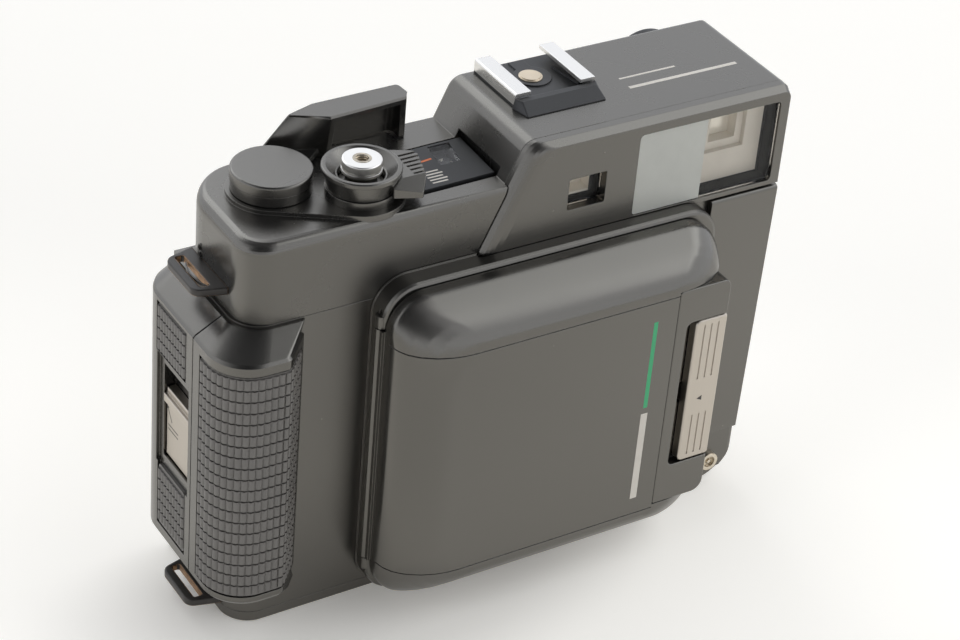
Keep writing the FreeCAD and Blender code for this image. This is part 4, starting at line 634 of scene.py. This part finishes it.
def make_finishes():
    """Every finish of the camera, by the record's slot name or by its own."""
    paint = settings()[0]
    body, cover, silver, worn = (tuple(colour) for colour in (paint.body, paint.cover, paint.silver, paint.worn))
    # On the glossy paints the light edge colour is partly rubbed-off wear and partly a painted highlight.
    gloss_and_edge_highlight = {"specular": 1.0, "ior": 1.7, "worn": (0.07, 0.067, 0.063), "rough_spread": 0.025,
             "tint": (1.0, 0.955, 0.86), "radius": 0.0002}
    mark = {"wear": 0.0, "radius": 0.00005}
    finish("body_paint", body, 0.30, bump=0.10, dust=0.012, **gloss_and_edge_highlight)
    finish("door_paint", body, 0.25, bump=0.07, dust=0.006, **gloss_and_edge_highlight)
    finish("cover_paint", cover, 0.27, dust=0.012, **gloss_and_edge_highlight)
    finish("bezel_plastic", cover, 0.26, bump=0.06, dust=0.01, **gloss_and_edge_highlight)
    finish("cover_plastic", cover, 0.25, dust=0.008, **gloss_and_edge_highlight)
    finish("grip_rubber", paint.rubber, 0.42, bump=0.12, radius=0.00008, wear=0.1, specular=1.0, ior=1.55)
    finish("satin_metal", silver, 0.42, metallic=1.0, spread=0.05, tone=120.0, grain=2600.0, stretch=(1, 1, 0.06),
           bump=0.10, worn=shade(silver, 1.25), wear=0.3)
    finish("steel", (0.50, 0.49, 0.47), 0.36, metallic=1.0, spread=0.08, worn=(0.65, 0.63, 0.6))
    finish("black_metal", (0.026, 0.026, 0.026), 0.46, radius=0.0002, wear=0.28, dust=0.008)
    finish("ring_metal", (0.024, 0.024, 0.025), 0.36, radius=0.0002, wear=0.34, worn=(0.12, 0.12, 0.12))
    finish("lug_metal", (0.050, 0.045, 0.040), 0.38, radius=0.0005, wear=0.62, worn=worn, worn_metal=0.85,
           metallic=0.3, bump=0.2)
    finish("nickel", (0.62, 0.56, 0.46), 0.28, metallic=1.0, spread=0.12, worn=(0.45, 0.3, 0.16), wear=0.35)
    finish("black_plastic", (0.019, 0.019, 0.019), 0.5, radius=0.0002, wear=0.2)
    finish("bright_aluminium", (0.76, 0.745, 0.71), 0.30, metallic=1.0, spread=0.04, stretch=(1, 0.08, 1),
           grain=2600.0, bump=0.12, radius=0.0002, worn=(0.85, 0.85, 0.85))
    finish("contact_brass", (0.66, 0.56, 0.42), 0.34, metallic=0.8, spread=0.1, worn=(0.75, 0.66, 0.5))
    finish("lug_brass", worn, 0.45, metallic=0.7, spread=0.3, tone=600.0, bump=0.2, worn=(0.45, 0.3, 0.18))
    finish("steel_dark", (0.09, 0.085, 0.08), 0.3, metallic=0.8, spread=0.2, tone=300.0, worn=(0.3, 0.28, 0.26))
    finish("release_brass", (0.46, 0.41, 0.33), 0.4, metallic=0.9, spread=0.25, tone=900.0, worn=(0.6, 0.5, 0.35))
    # The finder's plastic and its mirror coating glow faintly: painted light that lifts the shade in the finder's
    # recess.
    finish("finder_plastic", (0.66, 0.61, 0.53), 0.35, spread=0.04, bump=0.04, radius=0.0003,
           worn=(0.66, 0.62, 0.55), painted_glow=0.10)
    finish("mirror_coating", (0.72, 0.68, 0.60), 0.2, metallic=0.4, spread=0.03, bump=0.0, radius=0.0003,
           worn=(0.72, 0.68, 0.6), painted_glow=0.1)
    finish("foam", (0.012, 0.012, 0.012), 0.9, bump=0.5, grain=1800.0, wear=0.0)
    finish("white_fill", paint.white_mark, 0.5, spread=0.05, **mark)
    finish("green_fill", paint.green_mark, 0.5, spread=0.06, **mark)
    finish("orange_fill", paint.orange_mark, 0.5, spread=0.06, **mark)
    finish("dark_fill", (0.05, 0.045, 0.04), 0.6, spread=0.1, **mark)
    glass("clear_glass", (0.99, 0.985, 0.97), 0.01, ior=1.2)
    glass("lens_glass", (0.80, 0.74, 0.92), 0.0)
    glass("frosted_glass", (0.60, 0.60, 0.54), 0.28, haze=0.82)
    cloth("bellows_cloth", (0.016, 0.016, 0.016))


# Operators

class DRESS_OT_finishes(bpy.types.Operator):
    """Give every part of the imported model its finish"""
    bl_idname = "dress.finishes"
    bl_label = "Finishes"

    def execute(self, context):
        make_finishes()
        for name, node in NODES.items():
            wanted = "finder_plastic" if name in ("finder_block", "rangefinder_block") else SLOTS[name]
            for slot in node.material_slots:
                slot.material = FINISHES[wanted]
        return {"FINISHED"}


class DRESS_OT_rounds(bpy.types.Operator):
    """Copies of the broad parts whose rounds shade smoothly"""
    bl_idname = "dress.rounds"
    bl_label = "Smooth rounds"

    def execute(self, context):
        for node in SMOOTHED:
            smooth_copy(node)
        return {"FINISHED"}


class DRESS_OT_grip(bpy.types.Operator):
    """Ribbed rubber pads round the grip and on the back door"""
    bl_idname = "dress.grip"
    bl_label = "Grip pads"

    def execute(self, context):
        grip = settings()[1]
        tree = rib_tree(FINISHES["grip_rubber"])
        sunk, bed_back, margin = 0.00003, -0.00085, 0.6
        bed = pad_bed("grip_pad_bed", grip_path(PAD_PROUD - grip.height, PAD_GAP), grip_path(bed_back, PAD_GAP),
                      PAD_LOW.z + PAD_GAP, PAD_HIGH.z - PAD_GAP, "camera_body")
        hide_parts("grip_pad")
        self.ribs("grip_pad_ribs", grip_path(PAD_PROUD - sunk - grip.height, PAD_GAP + margin * grip.column),
                  grip.column, PAD_LOW.z, PAD_HIGH.z, tree, "camera_body")
        for node in ("upper_side_pad", "lower_side_pad"):
            low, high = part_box(node)
            front = low.x + grip.height
            bed = pad_bed(node + "_bed", *[[Vector((x, low.y + PAD_GAP)), Vector((x, high.y - PAD_GAP))]
                                           for x in (front, high.x)],
                          low.z + PAD_GAP, high.z - PAD_GAP, "back_door")
            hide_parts(node)
            ends = PAD_GAP + margin * grip.side_column
            self.ribs(node + "_ribs", [Vector((front + sunk, y)) for y in (low.y + ends, high.y - ends)],
                      grip.side_column, low.z, high.z, tree, "back_door")
        return {"FINISHED"}

    def ribs(self, name, path, column, low, high, tree, body):
        grip = settings()[1]
        rows = int((high - low - PAD_GAP) / grip.row)
        start = low + (high - low - (rows - 1) * grip.row) / 2
        edges = [(i, i + 1) for i in range(len(path) - 1)]
        grow_nodes(name, [Vector((p.x, p.y, start)) for p in path], edges, tree,
                   {"Column": column, "Row": grip.row, "Rows": rows, "Notch": grip.notch, "Height": grip.height,
                    "Valley": grip.valley}, body)


class DRESS_OT_finder(bpy.types.Operator):
    """Matte black lining behind the finder's two clear windows, with dark strips on the block's face along its right
    and bottom as painted shade
    """
    bl_idname = "dress.finder"
    bl_label = "Finder lining and shade"

    def execute(self, context):
        wall, gap = 0.06, 0.2
        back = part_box("finder_block")[0].y / MM - 0.02
        for window, name, margin in (("finder_window", "finder_lining_and_shade", 0.9),
                                     ("rangefinder_window", "rangefinder_lining_and_shade", 1.2)):
            low, high = (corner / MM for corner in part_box(window))
            x0, x1, z0, z1, y = low.x + gap, high.x - gap, low.z + gap, high.z - gap, high.y
            boxes(name, (((x0, y, z0), (x1, back, z0 + wall)),
                         ((x1 - wall, y, z0), (x1, back, z1)),
                         ((x0, y, z1 - wall), (x1, back, z1)),
                         # These two strips on the block's face are painted shade, where the tunnel's right wall and
                         # floor shade it.
                         ((x1 - margin, back - wall, z0), (x1, back, z1)),
                         ((x0, back - wall, z0), (x1, back, z0 + margin / 2))), "foam", "camera_body")
        return {"FINISHED"}


class DRESS_OT_bellows(bpy.types.Operator):
    """Pleated cloth bellows that stretches as the lens comes out"""
    bl_idname = "dress.bellows"
    bl_label = "Bellows"

    def execute(self, context):
        folds = settings()[2].folds
        low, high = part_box("bellows")
        middle = (low + high) / 2
        outer = (high.x - low.x) / 2
        depth = 0.0032
        wall = 0.0006
        count = 8 * folds
        rings = []
        for inset, order in ((0.0, 1), (wall, -1)):
            for i in range(count + 1)[::order]:
                t = i / count
                wave = 0.5 - 0.5 * math.cos(2 * math.pi * folds * t)
                sharp = wave ** 1.4
                half = outer - depth + depth * sharp - inset
                cut = 0.0045 + 0.0012 * sharp
                ring = []
                for sx, sz, first in ((1, -1, 0), (1, 1, 1), (-1, 1, 2), (-1, -1, 3)):
                    for k in range(5):
                        a = -math.pi / 2 + math.pi / 2 * first + math.pi / 2 * k / 4
                        ring.append((middle.x + sx * (half - cut) + cut * math.cos(a),
                                     low.y + (high.y - low.y) * t,
                                     middle.z + sz * (half - cut) + cut * math.sin(a)))
                rings.append(ring)
        bm = bmesh.new()
        loft(bm, rings, closed=True)
        piece = finish_piece("bellows_cloth", bm, FINISHES["bellows_cloth"])
        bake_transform(piece, "camera_body", "lens_unit", start=(middle.x, high.y, middle.z),
                 end=(middle.x, low.y, middle.z))
        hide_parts("bellows")
        return {"FINISHED"}


class DRESS_OT_screws(bpy.types.Operator):
    """Side screws, the threads of the two holes and the rim round the release's"""
    bl_idname = "dress.screws"
    bl_label = "Screws and threads"

    def execute(self, context):
        fine = settings()[2]
        tree = screw_tree(FINISHES["cover_paint"])
        side = [Vector((-63.4, 5.5, 89.1)) * MM, Vector((-63.4, 5.2, 87.45)) * MM]
        grow_nodes("side_screws", side, [], tree, {"Radius": fine.side_screw, "Height": 0.0003,
                                                   "Turn": (0.4, -math.pi / 2, -0.04)}, "camera_body")
        tree = thread_tree(FINISHES["contact_brass"])
        hole, rim, lip = 0.00142, 0.00205, 0.00004
        mouth = Vector((BUTTON.x, BUTTON.y, BUTTON_HIGH.z - 0.0042))
        grow_nodes("release_thread", [mouth], [], tree, {"Radius": hole, "Length": 0.0038, "Turns": 7.0,
                                                         "Wire": 0.00018}, "shutter_button")
        bm = bmesh.new()
        turns = [2 * math.pi * k / 40 for k in range(40)]
        loft(bm, [[(BUTTON.x + radius * math.cos(a), BUTTON.y + radius * math.sin(a), BUTTON_HIGH.z + height)
                   for a in turns] for radius, height in ((hole, 0), (hole, lip), (rim, lip), (rim, 0))], closed=True)
        finish_piece("release_rim", bm, FINISHES["release_brass"], "shutter_button", smooth=False)
        tree = thread_tree(FINISHES["steel"])
        grow_nodes("tripod_thread", [Vector((0, 0, 0.00045))], [], tree,
                   {"Radius": 0.00312, "Length": 0.006, "Turns": 4.7, "Wire": 0.00042}, "camera_body")
        return {"FINISHED"}


class DRESS_OT_lugs(bpy.types.Operator):
    """Worn brass inside the strap slots, and the spring leaf in the upper one"""
    bl_idname = "dress.lugs"
    bl_label = "Strap lugs"

    def execute(self, context):
        wall = 0.14
        for name, (x0, x1, y0, y1) in (("upper_strap_lug", (-68.6, -66.4, -5.0, 7.6)),
                                       ("lower_strap_lug", (-69.6, -67.4, -7.0, 5.0))):
            low, high = (corner.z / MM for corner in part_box(name))
            lining = ((x0, x0 + wall, y0 + 0.6, y1 - 0.6), (x1 - wall, x1, y0 + 0.6, y1 - 0.6),
                      (x0 + 0.6, x1 - 0.6, y0, y0 + wall), (x0 + 0.6, x1 - 0.6, y1 - wall, y1))
            boxes(name + "_wear", [((a, c, low + 0.2), (b, d, high - 0.12)) for a, b, c, d in lining], "lug_brass",
                  "camera_body")
            if name == "lower_strap_lug":
                continue
            rings = []
            for t in (i / 16 for i in range(17)):
                x = x1 - 0.6 - 1.2 * math.sin(math.pi * t)
                y = y0 + 0.3 + (y1 - y0 - 2.4) * t
                rings.append([Vector((a, y, z)) * MM for a, z in ((x, low + 0.3), (x + 0.3, low + 0.3),
                                                                  (x + 0.3, high - 0.25), (x, high - 0.25))])
            bm = bmesh.new()
            loft(bm, rings)
            finish_piece("strap_leaf", bm, FINISHES["steel_dark"], "camera_body", smooth=False)
        return {"FINISHED"}


class DRESS_OT_marks(bpy.types.Operator):
    """Plain bars, arrows and index marks in place of words"""
    bl_idname = "dress.marks"
    bl_label = "Marks"

    def execute(self, context):
        def mark(name, points, push, colour, body):
            bm = bmesh.new()
            prism(bm, [Vector(p) * MM for p in points], Vector(push) * MM)
            finish_piece(name, bm, FINISHES[colour], body, smooth=False)

        def bar(name, low, high, colour, body):
            boxes(name, [(low, high)], colour, body)

        sunk, proud = 0.05, 0.01
        face = DOOR_FACE - 0.003
        for name, z0, z1, half, colour in (("door_line_white", 18.8, 43.0, 0.9, "white_fill"),
                                           ("door_line_green", 44.6, 68.0, 0.55, "green_fill")):
            bar(name, (29.1 - half, face, z0), (29.1 + half, face + 0.06, z1), colour, "front_door")
        for i, (x0, x1, y0, y1) in enumerate(((37.0, 66.0, -3.6, -2.6), (37.0, 52.0, 0.8, 1.4))):
            bar("house_line_%d" % (i + 1), (x0, y0, HOUSE_TOP - sunk), (x1, y1, HOUSE_TOP + proud), "white_fill",
                "camera_body")
        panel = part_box("counter_panel")[1].z / MM
        for i in range(5):
            y, end = -8.0 + 1.1 * i, -11.6 + 0.5 * (i % 2)
            bar("counter_line_%d" % (i + 1), (-15.4, y, panel - sunk), (end, y + 0.45, panel + proud), "white_fill",
                "camera_body")
        mark("counter_index", [(x, y, panel - sunk) for x, y in ((-14.9, 0.35), (-10.6, 0.9), (-10.6, 1.5),
                                                                (-14.9, 0.95))],
             (0, 0, sunk + proud), "orange_fill", "camera_body")
        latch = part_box("door_latch")[0].y / MM - 0.005
        mark("latch_arrow", [(43.6, latch, 42.6), (45.0, latch, 43.3), (45.0, latch, 41.9)], (0, 0.06, 0),
             "dark_fill", "door_latch")
        catch = -70.005
        mark("catch_arrow", [(catch, y, z) for y, z in ((4.3, 45.8), (6.3, 48.6), (5.9, 48.9), (7.0, 49.4),
                                                        (6.8, 48.2), (6.5, 48.4), (4.6, 45.6))], (0.05, 0, 0),
             "dark_fill", "back_latch")
        for i, (y, z) in enumerate(((6.4, 44.2), (6.4, 43.1))):
            bar("catch_line_%d" % (i + 1), (catch, 1.4, z), (catch + 0.05, y, z + 0.3), "dark_fill", "back_latch")
        return {"FINISHED"}


class DRESS_OT_dials(bpy.types.Operator):
    """Numbers and ticks of the counter and the lens rings"""
    bl_idname = "dress.dials"
    bl_label = "Dials"

    def execute(self, context):
        def number(name, text, size, matrix, body):
            curve = bpy.data.curves.new(name, "FONT")
            curve.body, curve.size = text, size
            curve.align_x, curve.align_y = "CENTER", "CENTER"
            curve.extrude = 0.00003
            bm = bmesh.new()
            bm.from_mesh(baked(new_object(name, curve)))
            bmesh.ops.transform(bm, matrix=matrix, verts=bm.verts)
            finish_piece(name, bm, FINISHES["white_fill"], body, smooth=False)

        dial_ring, tick_ring, number_ring = 0.0058, 0.0229, 0.0212
        low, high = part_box("counter_dial")
        centre = (low + high) / 2
        for i in range(16):
            a = 2 * math.pi * i / 16
            spot = Vector((centre.x + dial_ring * math.cos(a), centre.y + dial_ring * math.sin(a), high.z + 0.00003))
            number("counter_number_%d" % (i * 2), str(i * 2), 0.0021,
                   Matrix.Translation(spot) @ Matrix.Rotation(a - math.pi / 2, 4, "Z"), "counter_dial")
        ticks = tick_tree(FINISHES["white_fill"])
        for name, count in (("aperture_ring", 36), ("shutter_ring", 24)):
            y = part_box(name)[0].y
            grow_nodes(name + "_ticks", [Vector((LENS.x, y, LENS.z))], [], ticks,
                       {"Count": count, "Radius": tick_ring, "Size": (0.0012, 0.00025, 0.00004)}, name)
        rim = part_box("front_rim")[0].y
        for i, text in enumerate(("4", "5.6", "8", "11", "16", "22")):
            a = math.radians(150 - 24 * i)
            spot = Vector((LENS.x + number_ring * math.cos(a), rim - 0.00002, LENS.z + number_ring * math.sin(a)))
            upright = Matrix.Rotation(math.pi / 2, 4, "X") @ Matrix.Rotation(a - math.pi / 2, 4, "Z")
            number("lens_number_%d" % i, text, 0.0032, Matrix.Translation(spot) @ upright, "lens_unit")
        return {"FINISHED"}


class DRESS_OT_stage(bpy.types.Operator):
    """Pale floor, soft light and the camera at the photograph's view"""
    bl_idname = "dress.stage"
    bl_label = "Stage"

    def execute(self, context):
        self.floor()
        self.sky(context.scene)
        fine = settings()[2]
        self.lamp("softbox", (0.72, -0.264, 0.969), 0.92, 0.80, fine.light)
        self.lamp("back_lamp", (0, 0.892, 0.853), 0.74, 0.60, fine.fill)
        self.camera(context.scene)
        context.scene.view_settings.view_transform = "Standard"
        return {"FINISHED"}

    def floor(self):
        bm = bmesh.new()
        steps = 24
        grid = [[bm.verts.new((FLOOR_SIZE * (i / steps - 0.5), FLOOR_SIZE * (j / steps - 0.5), 0.0))
                 for j in range(steps + 1)] for i in range(steps + 1)]
        for i in range(steps):
            for j in range(steps):
                bm.faces.new((grid[i][j], grid[i + 1][j], grid[i + 1][j + 1], grid[i][j + 1]))
        tree, shader, place = new_material("floor_paper")
        tones = use_group(tree, "tone", {"Vector": place, "Scale": 3.0, "Grain": 900.0})
        path = add(tree, "ShaderNodeLightPath").outputs
        seen = calc(tree, "MAXIMUM", path["Is Camera Ray"],
                    calc(tree, "MAXIMUM", path["Is Glossy Ray"], path["Is Transmission Ray"]))
        spot = add(tree, "ShaderNodeSeparateXYZ", {0: place}).outputs
        # Over its even glow the floor glows more toward the front-left. This rise stays low in an ellipse round the
        # camera's foot as a painted shadow, and it drops out far in front as a darker patch of painted shade, which
        # the camera's front faces reflect.
        front = calc(tree, "MULTIPLY_ADD", spot[0], -0.557, calc(tree, "MULTIPLY", spot[1], -0.83))
        foot = add(tree, "ShaderNodeMapping", {"Vector": place, "Location": (0.7, 0.6, 0), "Scale": (20, 40, 1)})
        painted_shadow_distance = add(tree, "ShaderNodeVectorMath", {0: foot.outputs[0]}, operation="LENGTH").outputs["Value"]
        near = ramp(tree, calc(tree, "MULTIPLY_ADD", spot[0], 0.25, spot[1]), -0.13, -0.06)
        rise = calc(tree, "MULTIPLY", calc(tree, "MULTIPLY", ramp(tree, front, -0.13, 0.02), near),
                    ramp(tree, painted_shadow_distance, 0.84, 1.73))
        feed(tree, shader, {
            "Base Color": blend(tree, tones.outputs["Tone"], (0.945, 0.91, 0.84), (0.96, 0.925, 0.855)),
            "Emission Color": (1.0, 0.98, 0.93, 1.0),
            "Emission Strength": calc(tree, "MULTIPLY", seen, calc(tree, "MULTIPLY_ADD", rise, 0.165, 0.18)),
            "Roughness": 0.85})
        floor = finish_piece("floor", bm, FINISHES["floor_paper"], smooth=False)

    def sky(self, scene):
        world = bpy.data.worlds.new("Studio")
        scene.world = world
        world.use_nodes = True
        tree = world.node_tree
        direction = add(tree, "ShaderNodeTexCoord").outputs["Generated"]
        height = add(tree, "ShaderNodeSeparateXYZ", {0: direction}).outputs[2]
        toward = add(tree, "ShaderNodeVectorMath", {0: direction, 1: (-0.42, -0.73, 0.54)},
                     operation="DOT_PRODUCT").outputs["Value"]
        dark = calc(tree, "MULTIPLY", ramp(tree, toward, 0.74, 0.88, 0.0, 0.95), ramp(tree, height, 0.12, 0.34))
        level = calc(tree, "MULTIPLY", ramp(tree, height, 0.60, 0.97, 1.22, 0.10), calc(tree, "SUBTRACT", 1.0, dark))
        feed(tree, tree.nodes["Background"].inputs, {"Color": (0.94, 0.97, 1.04, 1.0), "Strength": level})

    def lamp(self, name, at, wide, tall, power):
        data = bpy.data.lights.new(name, "AREA")
        data.shape, data.size, data.size_y, data.energy = "RECTANGLE", wide, tall, power
        data.color = LAMP_TINT
        light = new_object(name, data)
        light.location = at
        light.rotation_mode = "QUATERNION"
        light.rotation_quaternion = (Vector(LAMP_AIM) - Vector(at)).to_track_quat("-Z", "Y")

    def camera(self, scene):
        side, rise, roll = CAMERA_TURN
        back = Vector((math.sin(side) * math.cos(rise), -math.cos(side) * math.cos(rise), math.sin(rise)))
        right = (-back).cross(Vector((0, 0, 1))).normalized()
        up = right.cross(-back)
        across = math.cos(roll) * right + math.sin(roll) * up
        upward = -math.sin(roll) * right + math.cos(roll) * up
        data = bpy.data.cameras.new("Camera")
        data.sensor_width, data.lens = 36.0, CAMERA_LENS
        data.clip_start, data.clip_end = 0.01, 20.0
        place = Matrix((across, upward, back)).transposed().to_4x4()
        place.translation = Vector(CAMERA_TARGET) + back * CAMERA_AWAY
        scene.camera = new_object("Camera", data)
        scene.camera.matrix_world = place


class DRESS_PT_panel(bpy.types.Panel):
    """Lists the camera's settings and its pieces"""
    bl_idname = "DRESS_PT_panel"
    bl_label = "Folding Camera"
    bl_space_type = "VIEW_3D"
    bl_region_type = "UI"
    bl_category = "Folding Camera"

    def draw(self, context):
        for group_settings in settings():
            for name in group_settings.__annotations__:
                self.layout.prop(group_settings, name)
        for operator in OPERATORS:
            self.layout.operator(operator.bl_idname)


SETTINGS = (PaintSettings, GripSettings, FineSettings)
OPERATORS = (DRESS_OT_finishes, DRESS_OT_rounds, DRESS_OT_grip, DRESS_OT_finder, DRESS_OT_bellows, DRESS_OT_screws,
             DRESS_OT_lugs, DRESS_OT_marks, DRESS_OT_dials, DRESS_OT_stage)


def register():
    for item in SETTINGS + OPERATORS + (DRESS_PT_panel,):
        bpy.utils.register_class(item)
    bpy.types.Scene.dress_paint = PointerProperty(type=PaintSettings)
    bpy.types.Scene.dress_grip = PointerProperty(type=GripSettings)
    bpy.types.Scene.dress_fine = PointerProperty(type=FineSettings)


def unregister():
    del bpy.types.Scene.dress_fine
    del bpy.types.Scene.dress_grip
    del bpy.types.Scene.dress_paint
    for item in reversed(SETTINGS + OPERATORS + (DRESS_PT_panel,)):
        bpy.utils.unregister_class(item)


def main():
    register()
    bpy.ops.dress.finishes()
    bpy.ops.dress.rounds()
    bpy.ops.dress.grip()
    bpy.ops.dress.finder()
    bpy.ops.dress.bellows()
    bpy.ops.dress.screws()
    bpy.ops.dress.lugs()
    bpy.ops.dress.marks()
    bpy.ops.dress.dials()
    bpy.ops.dress.stage()


if __name__ == "__main__":
    main()
